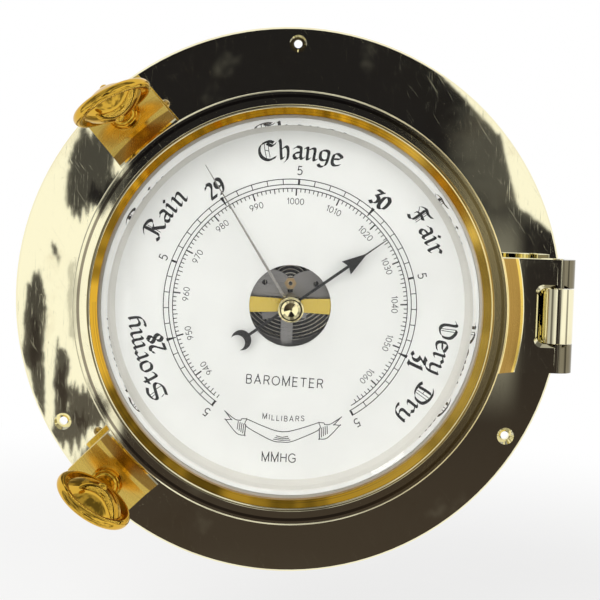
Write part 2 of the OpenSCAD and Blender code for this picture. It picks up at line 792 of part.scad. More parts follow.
// Outline points of one tooth, up one flank and down the other.
function tooth_points(teeth, at, root, tip, steps = 4) = concat(
    [for (i = [0:steps]) let (r = root + (tip - root) * i / steps, a = at - tooth_half(teeth, r))
        [r * cos(a), r * sin(a)]],
    [for (i = [steps:-1:0]) let (r = root + (tip - root) * i / steps, a = at + tooth_half(teeth, r))
        [r * cos(a), r * sin(a)]]);

// The arbor with its pinion and the collet of the hairspring.
module pointer_arbor() color(steel) upright() {
    root = pinion_r - 1.25 * gear_module;
    tip = pinion_r + gear_module;
    rod(arbor_r, cock_bottom, arbor_top);
    translate([0, 0, gear_bottom - 0.3]) linear_extrude(gear_t + 0.6)
        polygon([for (k = [0:pinion_teeth - 1])
            each tooth_points(pinion_teeth, 270 + (k + 0.5) * 360 / pinion_teeth, root, tip)]);
    rod(1.25, gear_top + 0.3, bridge_bottom - 0.2);
}

// Point of a spiral of a number of turns between two radii, at a share t.
function spiral_point(inner, outer, turns, t) = let (r = inner + (outer - inner) * t, a = 360 * turns * t)
    [r * cos(a), r * sin(a)];

// A flat spiral from the collet to a stud under the bridge, one unbroken strip.
module hairspring() color(steel) upright() {
    turns = 3;
    inner = 1.7;
    outer = 5.3;
    half = 0.07;
    stud_r = 0.35;
    steps = 36 * turns;
    echo(hairspring_gap = (outer - inner) / turns - 2 * half);
    translate([0, 0, gear_top + 0.6]) linear_extrude(0.6) polygon(concat(
        [for (i = [0:steps]) spiral_point(inner - half, outer - half, turns, i / steps)],
        [for (i = [steps:-1:0]) spiral_point(inner + half, outer + half, turns, i / steps)]));
    translate([outer + stud_r, 0, 0]) rod(stud_r, gear_top + 0.5, bridge_bottom);
}

// The toothed quadrant, its arm, and the forked tail that the rocking
// shaft's finger moves.
module quadrant() color(brass) upright() {
    first = -6;
    mid = 90 + (first + quadrant_span / 2 - 0.5) * 360 / quadrant_teeth;
    half = (quadrant_span / 2) * 360 / quadrant_teeth;
    root = quadrant_r - 1.25 * gear_module;
    tip = quadrant_r + 0.8 * gear_module;
    rim = 2.4;
    slot = 0.95;
    fork_x = finger_x + 2.4;
    translate([0, quadrant_y, gear_bottom]) linear_extrude(gear_t) difference() {
        union() {
            polygon(concat(
                [for (k = [first:first + quadrant_span - 1])
                    each tooth_points(quadrant_teeth, 90 + k * 360 / quadrant_teeth, root, tip)],
                arc_points(0, 0, root - rim, mid + half, mid - half, 16)));
            rotate(mid) polygon([[0, -2.2], [root - rim + 0.5, -1.1], [root - rim + 0.5, 1.1], [0, 2.2]]);
            circle(r = 3.2);
            translate([0, -slot - 1.4]) square([fork_x, 2 * (slot + 1.4)]);
        }
        translate([finger_x - 1.6, -slot]) square([fork_x, 2 * slot]);
        circle(r = shaft_r);
    }
}

module quadrant_arbor() color(steel) upright() {
    translate([0, quadrant_y, 0]) {
        rod(shaft_r, shelf_top, bridge_top);
        rod(shaft_r + 0.8, plate_top + clear, gear_bottom);
    }
}

// The bracket with the quadrant's upper bearing.
module quadrant_cock() color(brass) upright() {
    post_x = quadrant_post_x;
    difference() {
        union() {
            translate([post_x, quadrant_y, 0]) rod(post_r, plate_top, bridge_bottom);
            translate([post_x - post_r, quadrant_y - post_r, bridge_bottom])
                cube([post_r - post_x, 2 * post_r, bridge_t]);
            translate([0, quadrant_y, 0]) rod(post_r, bridge_bottom, bridge_top);
        }
        translate([0, quadrant_y, 0]) rod(shaft_r + run_slack, bridge_bottom - cut, bridge_top + cut);
        translate([post_x, quadrant_y, 0]) rod(small_shank_r + fit_slack, bridge_bottom - 5, bridge_top + cut);
    }
}

module quadrant_cock_screw() color(steel) upright() {
    translate([quadrant_post_x, quadrant_y, 0])
        slotted_screw(bridge_top, small_shank_r, bridge_t + 4, small_head_r, 1);
}

// The shaft across the plate with the finger that moves the quadrant and
// the arm that the spring's pin lifts.
module rocking_shaft() color(steel) upright() {
    translate([0, quadrant_y, shaft_h]) {
        rotate([0, 90, 0]) rod(shaft_r, finger_x - 1.2, arm_x + 6);
        translate([finger_x, 0, 0]) rod(0.6, 0, gear_top + 0.8 - shaft_h);
        translate([arm_x - 1, 0, -0.6]) cube([2, arm_l, 1.2]);
        translate([arm_x, arm_l, -0.6]) cylinder(r = 1.6, h = 1.2);
    }
}

module rocking_brackets() color(brass) upright() {
    bracket_t = 2;
    half = 3;
    for (x = [finger_x + 3, arm_x + 2.5]) difference() {
        translate([x, quadrant_y - half, plate_top]) cube([bracket_t, 2 * half, shaft_h + 2.4 - plate_top]);
        translate([x - cut, quadrant_y, shaft_h]) rotate([0, 90, 0]) rod(shaft_r + run_slack, 0, bracket_t + 2 * cut);
    }
}

// The screw behind the vent that sets the reading.
module adjusting_screw() color(brass) upright() {
    translate([0, capsule_y, shelf_top]) mirror([0, 0, 1])
        slotted_screw(0, shaft_r, plate_t - clear, 1.6, 1);
}

module pressure_pointer() color(black) upright() {
    half = 0.55;
    needle = 0.3;
    head_at = 0.6 * pointer_l;
    head_l = 0.175 * pointer_l;
    head_half = 3.1;
    moon_r = 4;
    rotate(pointer_angle) difference() {
        union() {
            translate([0, 0, pointer_bottom]) linear_extrude(pointer_t) {
                polygon([[-pointer_tail + moon_r - 1, -half], [head_at, -half], [head_at - 1, -head_half],
                         [head_at + head_l, -needle], [pointer_l, -needle / 2], [pointer_l, needle / 2],
                         [head_at + head_l, needle], [head_at - 1, head_half], [head_at, half],
                         [-pointer_tail + moon_r - 1, half]]);
                translate([-pointer_tail, 0]) difference() {
                    circle(r = moon_r);
                    translate([-1.9, 0]) circle(r = moon_r - 0.9);
                }
            }
            rod(pointer_boss_r, pointer_bottom - 0.4, pointer_bottom + pointer_t + 0.3);
        }
        rod(arbor_r, pointer_bottom - cut, arbor_top + cut);
    }
}

module set_pointer() color(brass) upright() {
    rotate(set_pointer_angle) difference() {
        union() {
            translate([0, 0, set_bottom]) linear_extrude(set_t)
                polygon([[0, -0.6], [set_pointer_l, -0.15], [set_pointer_l, 0.15], [0, 0.6]]);
            rod(set_hub_r, set_bottom - 0.1, set_bottom + set_t + 0.4);
        }
        rod(set_shaft_r, set_bottom - cut, set_bottom + cut + set_t);
    }
}

module set_shaft() color(brass) upright() {
    rod(set_shaft_r, set_bottom - 0.3, knob_bottom + knob_h / 2);
}

// The bush in the glass, with its flange in front.
module set_bush() color(brass) upright() {
    difference() {
        union() {
            rod(bush_r, glass_bottom - bush_nut_t - 0.3, glass_top);
            rod(bush_flange_r, glass_top, glass_top + bush_flange_t);
        }
        rod(set_shaft_r + run_slack, glass_bottom - bush_nut_t - cut, knob_bottom + cut);
    }
}

module set_bush_nut() color(brass) upright() {
    difference() {
        translate([0, 0, glass_bottom - bush_nut_t]) cylinder(r = bush_r + 2, h = bush_nut_t, $fn = 6);
        rod(bush_r + 0.02, glass_bottom - bush_nut_t - cut, glass_bottom + cut);
    }
}

// The turned knob with a dished face and a fluted edge.
module set_knob() color(brass) upright() {
    r = set_knob_d / 2;
    top = knob_bottom + knob_h;
    flutes = 30;
    difference() {
        rotate_extrude() polygon(concat(
            [[0, knob_bottom], [r - 1.4, knob_bottom], [r - 1.4, knob_bottom + 1.4], [r, knob_bottom + 2]],
            arc_points(r - 0.7, top - 0.7, 0.7, 0, 90, 5),
            [[r - 1.2, top], [r - 2.2, top - 0.5], [0, top - 0.8]]));
        around(flutes, r + 0.22) rod(0.4, knob_bottom + 1.2, top - 0.9);
        rod(set_shaft_r, knob_bottom - cut, knob_bottom + knob_h / 2);
    }
}

base_casting();
case_seal();
back_cover();
back_cover_screws();
hinge_pin();
bezel_ring();
glass();
glass_gasket();
glass_retainer();
clamp_screw_upper();
clamp_screw_lower();
clamp_washer_upper();
clamp_washer_lower();
dial_plate();
dial_surround();
dial_pillars();
dial_screws();
movement_plate();
movement_screws();
capsule();
capsule_nut();
main_spring();
spring_pillars();
spring_screws();
arbor_cock();
cock_screw();
arbor_bridge();
bridge_pillars();
bridge_screws();
pointer_arbor();
hairspring();
quadrant();
quadrant_arbor();
quadrant_cock();
quadrant_cock_screw();
rocking_shaft();
rocking_brackets();
adjusting_screw();
pressure_pointer();
set_pointer();
set_shaft();
set_bush();
set_bush_nut();
set_knob();
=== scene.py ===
"""Looks of a barometer in a polished brass porthole case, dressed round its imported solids.

The dial faces -Y and is read with X to the right and Z up. A height is a distance out of the wall, so a point
(x, z) at height h lies at (x, -h, z). Sizes are in millimetres until a mesh is made.
"""
import logging
import math
from collections.abc import Sequence
from dataclasses import dataclass, field
from enum import Enum

import bpy
import numpy as np
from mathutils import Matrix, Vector


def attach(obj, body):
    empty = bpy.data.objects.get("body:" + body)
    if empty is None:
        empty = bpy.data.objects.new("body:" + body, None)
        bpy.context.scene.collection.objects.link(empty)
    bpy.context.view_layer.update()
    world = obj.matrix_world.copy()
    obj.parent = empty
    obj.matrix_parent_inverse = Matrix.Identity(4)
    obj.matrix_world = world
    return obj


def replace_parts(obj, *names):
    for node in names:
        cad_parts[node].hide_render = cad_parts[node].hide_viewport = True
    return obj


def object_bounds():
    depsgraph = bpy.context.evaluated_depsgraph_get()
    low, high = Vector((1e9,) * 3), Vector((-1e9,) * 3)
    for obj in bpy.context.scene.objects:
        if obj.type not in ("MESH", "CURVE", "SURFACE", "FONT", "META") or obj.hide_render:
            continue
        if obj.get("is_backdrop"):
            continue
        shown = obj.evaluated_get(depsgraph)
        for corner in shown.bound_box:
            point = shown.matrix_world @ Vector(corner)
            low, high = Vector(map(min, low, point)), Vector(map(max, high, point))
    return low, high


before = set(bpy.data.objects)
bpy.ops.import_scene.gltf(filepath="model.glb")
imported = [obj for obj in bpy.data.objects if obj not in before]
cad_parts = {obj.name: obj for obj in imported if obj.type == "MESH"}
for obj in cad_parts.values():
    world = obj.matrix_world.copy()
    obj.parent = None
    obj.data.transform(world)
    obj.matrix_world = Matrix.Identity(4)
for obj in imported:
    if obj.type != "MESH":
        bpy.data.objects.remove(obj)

log = logging.getLogger("barometer")

MM = 0.001
Colour = tuple[float, float, float]
WHITE: Colour = (1.0, 1.0, 1.0)


class Body(Enum):
    """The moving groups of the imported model."""

    CASE = "case"
    UPPER_CLAMP = "upper_clamp"
    LOWER_CLAMP = "lower_clamp"


class Lay(Enum):
    """How the lines of a metal's grain run."""

    TURNED = "turned"
    LENGTHWAYS = "lengthways"
    HAND_RUBBED = "hand rubbed"


# Node trees


class Value:
    """The output of a node. The usual signs join it to numbers and other outputs by new nodes."""

    def __init__(self, graph: "Graph", socket: bpy.types.NodeSocket) -> None:
        """Keeps the socket, and the graph that new nodes go to."""
        self.graph, self.socket = graph, socket

    def math(self, operation: str, *others: "Value | float") -> "Value":
        """Adds one Math node on this value and others."""
        return self.graph.add("ShaderNodeMath", dict(enumerate((self, *others))), operation=operation)

    def __add__(self, other: "Value | float") -> "Value":
        """The sum."""
        return self.math("ADD", other)

    def __sub__(self, other: "Value | float") -> "Value":
        """The difference."""
        return self.math("SUBTRACT", other)

    def __rsub__(self, other: float) -> "Value":
        """A number less this value."""
        return self.math("MULTIPLY_ADD", -1.0, other)

    def __mul__(self, other: "Value | float") -> "Value":
        """The product."""
        return self.math("MULTIPLY", other)

    def __truediv__(self, other: "Value | float") -> "Value":
        """The quotient."""
        return self.math("DIVIDE", other)

    def __abs__(self) -> "Value":
        """The size without the sign."""
        return self.math("ABSOLUTE")

    def most(self, other: "Value | float") -> "Value":
        """The larger of two."""
        return self.math("MAXIMUM", other)

    def step(self, low: float, high: float) -> "Value":
        """Smooth step from 0 at low to 1 at high."""
        return self.graph.add("ShaderNodeMapRange", {"Value": self, "From Min": low, "From Max": high},
                              interpolation_type="SMOOTHSTEP")


class Graph:
    """Short calls that build one node tree."""

    def __init__(self, tree: bpy.types.NodeTree) -> None:
        """Empties the tree that the calls will fill."""
        self.tree = tree
        tree.nodes.clear()

    def add(self, kind: str, inputs: dict | None = None, out: int | str = 0, **settings: object) -> Value:
        """Adds one node.

        Args:
            kind: Blender's name for the node type.
            inputs: socket name or number to a number, a colour or another node's output.
            out: name or number of the output that is wanted.
            **settings: plain settings of the node.

        Returns:
            The output.
        """
        node = self.tree.nodes.new(kind)
        for name, value in settings.items():
            setattr(node, name, value)
        for key, value in (inputs or {}).items():
            socket = node.inputs[key]
            if isinstance(value, Value):
                self.tree.links.new(value.socket, socket)
            else:
                socket.default_value = (*value, 1.0) if socket.type == "RGBA" else value
        return Value(self, node.outputs[out])

    def end(self, kind: str, surface: Value) -> None:
        """Adds the tree's output node."""
        self.tree.links.new(surface.socket, self.tree.nodes.new(kind).inputs["Surface"])

    def parts(self, vector: Value) -> list[Value]:
        """The X, Y and Z of a vector."""
        first = self.add("ShaderNodeSeparateXYZ", {0: vector})
        return [Value(self, socket) for socket in first.socket.node.outputs]

    def vector(self, x: Value | float, y: Value | float, z: Value | float) -> Value:
        """Joins three numbers to a vector."""
        return self.add("ShaderNodeCombineXYZ", {0: x, 1: y, 2: z})

    def scaled(self, vector: Value, scale: tuple[float, float, float]) -> Value:
        """A vector with each part multiplied."""
        return self.add("ShaderNodeVectorMath", {0: vector, 1: scale}, operation="MULTIPLY")

    def mix(self, factor: Value, a: Value | Colour, b: Value | Colour) -> Value:
        """Goes from one colour to another by a factor."""
        return self.add("ShaderNodeMix", {0: factor, 6: a, 7: b}, 2, data_type="RGBA", clamp_factor=True)

    def noise(self, vector: Value, scale: float, detail: float = 3.0, rough: float = 0.5) -> Value:
        """Noise of one scale over a vector, from 0 to 1."""
        inputs = {"Vector": vector, "Scale": scale, "Detail": detail, "Roughness": rough}
        return self.add("ShaderNodeTexNoise", inputs)

    def bump(self, height: Value, distance: float, under: Value | None = None) -> Value:
        """A normal that leans with a height given as a share of a distance in millimetres, on top of another."""
        more = {"Normal": under} if under else {}
        return self.add("ShaderNodeBump", {"Height": height, "Strength": 1.0, "Distance": distance * MM} | more)

    def principled(self, colour: Value | Colour, rough: Value | float, **more: Value | float) -> Value:
        """Adds a Principled shader; an underscore in a name stands for a space."""
        named = {name.replace("_", " "): value for name, value in more.items()}
        return self.add("ShaderNodeBsdfPrincipled", {"Base Color": colour, "Roughness": rough} | named)

    def blend(self, factor: Value, a: Value, b: Value) -> Value:
        """Goes from one shader to another by a factor."""
        return self.add("ShaderNodeMixShader", {0: factor, 1: a, 2: b})

    def path(self, name: str) -> Value:
        """One output of the Light Path node."""
        return self.add("ShaderNodeLightPath", out=name)

    def here(self) -> Value:
        """Object coordinates of the shaded point, in metres."""
        return self.add("ShaderNodeTexCoord", out="Object")

    def turned(self, centre: tuple[float, float] = (0.0, 0.0)) -> tuple[Value, Value]:
        """Radius and angle of the shaded point about an axis along Y.

        Args:
            centre: X and Z of the axis, in metres.

        Returns:
            The radius in metres, and a vector of radius, Y and angle in radians to lay grain with.
        """
        across, out, up = self.parts(self.here())
        x, z = across - centre[0], up - centre[1]
        radius = (x * x + z * z).math("SQRT")
        return radius, self.vector(radius, out, z.math("ARCTAN2", x))


# Finishes


@dataclass(frozen=True)
class Finish:
    """What every finish has: a name, the record's slot, and a way to build its material."""

    name: str
    slot: str

    def shade(self, graph: Graph) -> Value:
        """Builds the surface shader."""
        raise NotImplementedError

    def material(self) -> bpy.types.Material:
        """Makes the material once.

        Returns:
            The material of this name.
        """
        known = bpy.data.materials.get(self.name)
        if known:
            return known
        material = bpy.data.materials.new(self.name)
        material.use_nodes = True
        graph = Graph(material.node_tree)
        graph.end("ShaderNodeOutputMaterial", self.shade(graph))
        return material


@dataclass(frozen=True)
class Metal(Finish):
    """A metal with grain, fine scratches, waviness of the polish and tarnish in patches, and painted shade between
    ridges.
    """

    colour: Colour = (0.9, 0.76, 0.42)
    tarnish: Colour = (0.55, 0.38, 0.16)
    roughness: float = 0.1
    lay: Lay = Lay.HAND_RUBBED
    grain: float = 0.02
    wave: float = 0.0
    centre: tuple[float, float] = (0.0, 0.0)
    scratched: float = 0.5
    # Radius of one crest and the pitch of the ridges, in metres; the colour between the crests is painted shade.
    ridge: tuple[float, float] | None = None

    def grain_vector(self, graph: Graph) -> Value:
        """Coordinates that stretch noise along the lay of the metal.

        Args:
            graph: the material's tree.

        Returns:
            The vector.
        """
        if self.lay is Lay.TURNED:
            return graph.scaled(graph.turned(self.centre)[1], (9000.0, 9000.0, 6.0))
        if self.lay is Lay.LENGTHWAYS:
            return graph.scaled(graph.here(), (160.0, 6000.0, 6000.0))
        return graph.scaled(graph.here(), (900.0, 3500.0, 5200.0))

    def toned(self, graph: Graph, colour: Value) -> tuple[Value, Value | float]:
        """Changes the colour by place, where the metal calls for it: painted shade between the crests of ridged
        metal.

        Args:
            graph: the material's tree.
            colour: the colour with its tarnish.

        Returns:
            The colour, and how hazy the place is.
        """
        if not self.ridge:
            return colour, 0.0
        first, pitch = self.ridge
        # Painted shade: all but a thin line at each crest is painted near black, as if the valleys and slopes lay in
        # shade.
        part = ((graph.turned(self.centre)[0] - (first - pitch * 20)) / pitch).math("FRACT")
        crest = abs(part - 0.5).step(0.3, 0.44)
        return graph.mix(crest, (0.02, 0.019, 0.017), colour), 0.0

    def shade(self, graph: Graph) -> Value:
        """Builds one Principled shader with grain in its bump and roughness.

        Args:
            graph: the material's tree.

        Returns:
            The shader.
        """
        point = graph.here()
        lines = graph.noise(self.grain_vector(graph), 1.0, 2.0, 0.6)
        rub = graph.noise(graph.scaled(point, (420.0, 420.0, 2600.0)), 1.0, 4.0, 0.6)
        worn = graph.noise(point, 38.0, 5.0, 0.6).step(0.52, 0.78)
        specks = graph.noise(point, 900.0, 2.0).step(0.72, 0.78)
        colour = graph.mix(worn * 0.22, self.colour, self.tarnish)
        colour, haze = self.toned(graph, graph.mix(specks * 0.25, colour, self.tarnish))
        rough = (lines * 0.5 + 0.6 + worn * 0.6) * self.roughness
        rough = rough + haze if isinstance(haze, Value) else rough
        rough = rough + self.scratches(graph, point) * (0.2 * self.scratched)
        normal = graph.bump(lines * 0.5 + rub * 0.5, self.grain)
        if self.wave:
            swell = graph.noise(graph.scaled(point, (1.0, 0.4, 0.6)), 26.0, 1.0, 0.4)
            normal = graph.bump(swell, self.wave, normal)
        return graph.principled(colour, rough, Metallic=1.0, Normal=normal)

    def scratches(self, graph: Graph, point: Value) -> Value:
        """Marks hairline scratches in two directions and a few small dents.

        Args:
            graph: the material's tree.
            point: Object coordinates.

        Returns:
            1 on a scratch and 0 beside it.
        """
        upright = graph.noise(graph.scaled(point, (2600.0, 900.0, 110.0)), 1.0, 2.0, 0.6).step(0.63, 0.7)
        turned = graph.add("ShaderNodeVectorRotate", {0: point, 3: math.radians(34)}, rotation_type="Y_AXIS")
        slanting = graph.noise(graph.scaled(turned, (2400.0, 900.0, 70.0)), 1.0, 2.0, 0.6).step(0.68, 0.73)
        dents = graph.noise(point, 900.0, 1.0).step(0.78, 0.8)
        return (upright * 0.5).most(slanting * 0.8).most(dents)


@dataclass(frozen=True)
class RingMetal(Metal):
    """The glazed ring's brass, with painted reflection and painted shade in its colour, face by face.

    Radii and heights are in metres, from the dial's middle and from the wall.
    """

    # Painted light: the first two colours are painted reflection, a deeper gold and yellow, and the next three
    # painted shade.
    deep: Colour = (0.7, 0.4, 0.035)
    plate: Colour = (0.98, 0.7, 0.16)
    furrow: Colour = (0.3, 0.26, 0.18)
    wall: Colour = (0.45, 0.27, 0.06)
    dirt: Colour = (0.09, 0.07, 0.04)
    haze: float = 0.22

    def toned(self, graph: Graph, colour: Value) -> tuple[Value, Value | float]:
        """Paints reflection on the slope, bands, lugs and right of the front, and shade in lines, walls and knuckles.

        Args:
            graph: the material's tree.
            colour: the colour of the flat front.

        Returns:
            The colour, and the haze of the bands, the lugs' faces and the front's right side.
        """
        radius, vector = graph.turned()
        _, out, angle = graph.parts(vector)
        across = graph.parts(graph.here())[0]
        height = out * -1.0
        # Painted shade: a dark line on the front where a turned groove's shade would lie, and a fainter one on the
        # bead at the lip.
        furrow = radius.step(0.0809, 0.0811) * radius.step(0.0823, 0.082)
        bead_shade = radius.step(0.0775, 0.0776) * radius.step(0.0783, 0.0782)
        colour = graph.mix(furrow.most(bead_shade * 0.7) * height.step(0.0385, 0.039), colour, self.furrow)
        outside = radius.step(0.0839, 0.0842) * height.step(0.0414, 0.0411)
        band = outside * height.step(0.0352, 0.0355).most(abs(angle).step(1.2, 1.5))
        lines = graph.noise(graph.scaled(vector, (2300.0, 2300.0, 0.9)), 1.0, 2.0, 0.6).step(0.52, 0.66) * 0.6
        # Painted reflection: the slope inside the lip is painted a deeper gold, as brass looks where it mirrors
        # brass.
        colour = graph.mix(radius.step(0.07735, 0.0771), colour, graph.mix(lines, self.deep, self.tarnish))
        # Painted reflection: the bands down to the lugs and the lugs' faces are painted a deeper yellow. Painted
        # shade: the outer wall, within 89.2 mm, is painted dark brown.
        colour = graph.mix(band, colour, graph.mix(lines * 0.3, self.plate, self.tarnish))
        colour = graph.mix(band * radius.step(0.0898, 0.0892), colour, graph.mix(lines, self.wall, self.tarnish))
        # The front's right side, from 15 to 80 mm across, is painted half-way to the lugs' deeper yellow of painted
        # reflection, and made hazier.
        rubbed = across.step(0.015, 0.08) * radius.step(0.0845, 0.084) * 0.5
        colour = graph.mix(rubbed, colour, self.plate)
        # Painted shade: everything beyond 105.4 mm to the right, the hinge's knuckles, is painted near black.
        colour = graph.mix(across.step(0.1052, 0.1056) * 0.85, colour, self.dirt)
        return colour, band.most(rubbed) * self.haze


@dataclass(frozen=True)
class Enamel(Finish):
    """Matt paint on metal, with a faint orange peel and dust."""

    colour: Colour = (0.9, 0.9, 0.87)
    roughness: float = 0.45
    shine: float = 0.5

    def shade(self, graph: Graph) -> Value:
        """Builds one Principled shader with uneven tone and a fine bump.

        Args:
            graph: the material's tree.

        Returns:
            The shader.
        """
        point = graph.here()
        darker = tuple(0.95 * part for part in self.colour)
        colour = graph.mix(graph.noise(point, 30.0, 4.0, 0.6).step(0.35, 0.7), self.colour, darker)
        peel = graph.noise(point, 2400.0, 2.0)
        rough = peel * 0.12 + (self.roughness - 0.06)
        return graph.principled(colour, rough, Specular_IOR_Level=self.shine, Normal=graph.bump(peel, 0.004))


@dataclass(frozen=True)
class Rubber(Finish):
    """Moulded rubber."""

    colour: Colour = (0.03, 0.03, 0.03)

    def shade(self, graph: Graph) -> Value:
        """Builds one Principled shader with a matt moulded skin.

        Args:
            graph: the material's tree.

        Returns:
            The shader.
        """
        skin = graph.noise(graph.here(), 1500.0, 3.0, 0.6)
        colour = graph.mix(skin, self.colour, tuple(1.3 * part for part in self.colour))
        return graph.principled(colour, skin * 0.2 + 0.6, Normal=graph.bump(skin, 0.02))


@dataclass(frozen=True)
class Glass(Finish):
    """Clear polished plate glass with a faint smear."""

    colour: Colour = (0.995, 1.0, 0.995)

    def shade(self, graph: Graph) -> Value:
        """Builds one Principled shader that refracts."""
        smear = graph.noise(graph.here(), 45.0, 3.0, 0.6).step(0.55, 0.85)
        return graph.principled(self.colour, smear * 0.02, IOR=1.5, Transmission_Weight=1.0)


BRASS: Colour = (0.93, 0.87, 0.6)
POLISHED = Metal("polished_brass_case", "polished_brass", colour=BRASS, roughness=0.022, grain=0.00004, wave=0.012)
RING_BRASS = RingMetal("polished_brass_ring", "polished_brass", colour=BRASS, roughness=0.035, lay=Lay.TURNED,
                       grain=0.0001, wave=0.01, tarnish=(0.36, 0.2, 0.03))
THUMB_BRASS = Metal("polished_brass_thumb", "polished_brass", colour=(0.68, 0.41, 0.05), tarnish=(0.3, 0.16, 0.03),
                    roughness=0.05, grain=0.00005, wave=0.01, scratched=0.1)
KNOB_BRASS = Metal("turned_brass_knob", "polished_brass", colour=(0.97, 0.87, 0.5), roughness=0.05, lay=Lay.TURNED,
                   grain=0.00005, scratched=0.05)
SHEET = Metal("rolled_brass", "sheet_brass", colour=(0.72, 0.56, 0.28), roughness=0.3, lay=Lay.LENGTHWAYS,
              grain=0.0006)
MOVEMENT = Metal("grained_brass", "movement_brass", colour=(0.7, 0.52, 0.1), roughness=0.28, lay=Lay.LENGTHWAYS,
                 grain=0.0004)
NUT_BRASS = Metal("tarnished_brass", "movement_brass", colour=(0.4, 0.28, 0.14), tarnish=(0.2, 0.13, 0.06),
                  roughness=0.35, grain=0.0004)
STEEL = Metal("grained_steel", "steel", colour=(0.25, 0.24, 0.23), tarnish=(0.14, 0.12, 0.1), roughness=0.35,
              scratched=0.1, lay=Lay.LENGTHWAYS, grain=0.0004)
# The capsule's colour between its crests is painted near black, a painted shade of its ridges.
CAPSULE = Metal("pressed_nickel", "capsule_metal", colour=(0.62, 0.58, 0.5), tarnish=(0.3, 0.26, 0.2),
                roughness=0.25, lay=Lay.TURNED, grain=0.0004, centre=(0.0, 0.0085), ridge=(0.004, 0.0015))
SET_STEEL = Metal("set_pointer_metal", "sheet_brass", colour=(0.35, 0.33, 0.3), roughness=0.3, grain=0.001)
DIAL_WHITE = Enamel("dial_enamel_white", "dial_enamel", colour=(0.92, 0.925, 0.9))
SURROUND_WHITE = Enamel("surround_enamel", "dial_enamel", colour=(0.78, 0.76, 0.7), roughness=0.5)
INK = Enamel("dial_ink", "pointer_black", colour=(0.01, 0.01, 0.01), roughness=0.6, shine=0.1)
POINTER_BLACK = Enamel("pointer_lacquer", "pointer_black", colour=(0.01, 0.01, 0.01), roughness=0.35, shine=0.2)
RUBBER = Rubber("moulded_rubber", "rubber")
CHANNEL_RUBBER = Rubber("pale_channel_rubber", "rubber", colour=(0.5, 0.48, 0.43))
CLEAR = Glass("plate_glass", "clear_glass")

# Meshes


# Degrees between faces past which an edge stays sharp, and the steps of a long arc on the dial.
SHARP = 38.0
ARC_STEPS = 240
# The sides of what is turned: the capsule and the discs, the screws' stems, and the balls on the discs.
WIDE_SIDES = 144
STEM_SIDES = 64
BALL_SIDES = 48


def add_piece(name: str, points: np.ndarray, faces: list, finish: Finish, body: Body,
              smooth: bool = False) -> bpy.types.Object:
    """Makes one piece of the visual model.

    Args:
        name: the piece's name.
        points: corners in the row frame, in metres, one to a row.
        faces: tuples of corner numbers, each seen anticlockwise from outside.
        finish: what it is made of.
        body: the moving group that it rides on.
        smooth: whether its faces are shaded smoothly.

    Returns:
        The new object.
    """
    mesh = bpy.data.meshes.new(name)
    mesh.from_pydata([tuple(p) for p in points.tolist()], [], faces)
    mesh.polygons.foreach_set("use_smooth", np.full(len(mesh.polygons), smooth))
    if smooth:
        mesh.set_sharp_from_angle(angle=math.radians(SHARP))
    mesh.materials.append(finish.material())
    piece = bpy.data.objects.new(name, mesh)
    bpy.context.scene.collection.objects.link(piece)
    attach(piece, body.value)
    log.info("%s: %d corners, %d faces, rides on %s", name, len(points), len(faces), body.value)
    return piece


def on_circle(radius: np.ndarray | float, angle: np.ndarray | float) -> np.ndarray:
    """Points (n, 2) of the dial at a radius and an angle in radians: radius times cosine and sine."""
    return np.stack([radius * np.cos(angle), radius * np.sin(angle)], axis=-1)


def lathe(profile: np.ndarray, place: np.ndarray, segments: int) -> tuple[np.ndarray, list]:
    """Surface of revolution, closed at both poles.

    The point at angle a of a profile's corner (r, t) is r cos a along the first column of the place, r sin a along
    its second, and t along its third, from its fourth, which is the origin.

    Args:
        profile: corners (n, 2) as radius and distance along the axis, the first and last on the axis, in
            millimetres, going up the axis outside.
        place: 3 rows by 4 columns, in millimetres of the row frame.
        segments: how many sides the turn has.

    Returns:
        The points in metres and the faces, seen anticlockwise from outside.
    """
    k = np.arange(segments)
    nxt, turn = (k + 1) % segments, 2 * math.pi * k / segments
    r, t = profile[1:-1, :1], profile[1:-1, 1:]
    rows = len(r)
    local = np.stack([r * np.cos(turn), r * np.sin(turn), np.broadcast_to(t, (rows, segments))], axis=-1)
    poles = np.array([[0.0, 0.0, profile[0, 1]], [0.0, 0.0, profile[-1, 1]]])
    points = (np.concatenate([local.reshape(-1, 3), poles]) @ place[:, :3].T + place[:, 3]) * MM
    low = segments * np.arange(rows - 1)[:, None]
    high = low + segments
    quads = np.stack([low + k, low + nxt, high + nxt, high + k], axis=-1).reshape(-1, 4)
    first, last = np.full(segments, rows * segments), (rows - 1) * segments
    foot = np.stack([nxt, k, first], axis=1)
    top = np.stack([last + k, last + nxt, first + 1], axis=1)
    return points, quads.tolist() + foot.tolist() + top.tolist()


def joined(parts: Sequence[tuple[np.ndarray, list]]) -> tuple[np.ndarray, list]:
    """Puts several closed surfaces together.

    Args:
        parts: the points and the faces of each.

    Returns:
        One array of points and one list of faces.
    """
    starts = np.cumsum([0] + [len(points) for points, _ in parts])
    faces = [[v + int(start) for v in face] for start, (_, some) in zip(starts, parts) for face in some]
    return np.concatenate([points for points, _ in parts]), faces


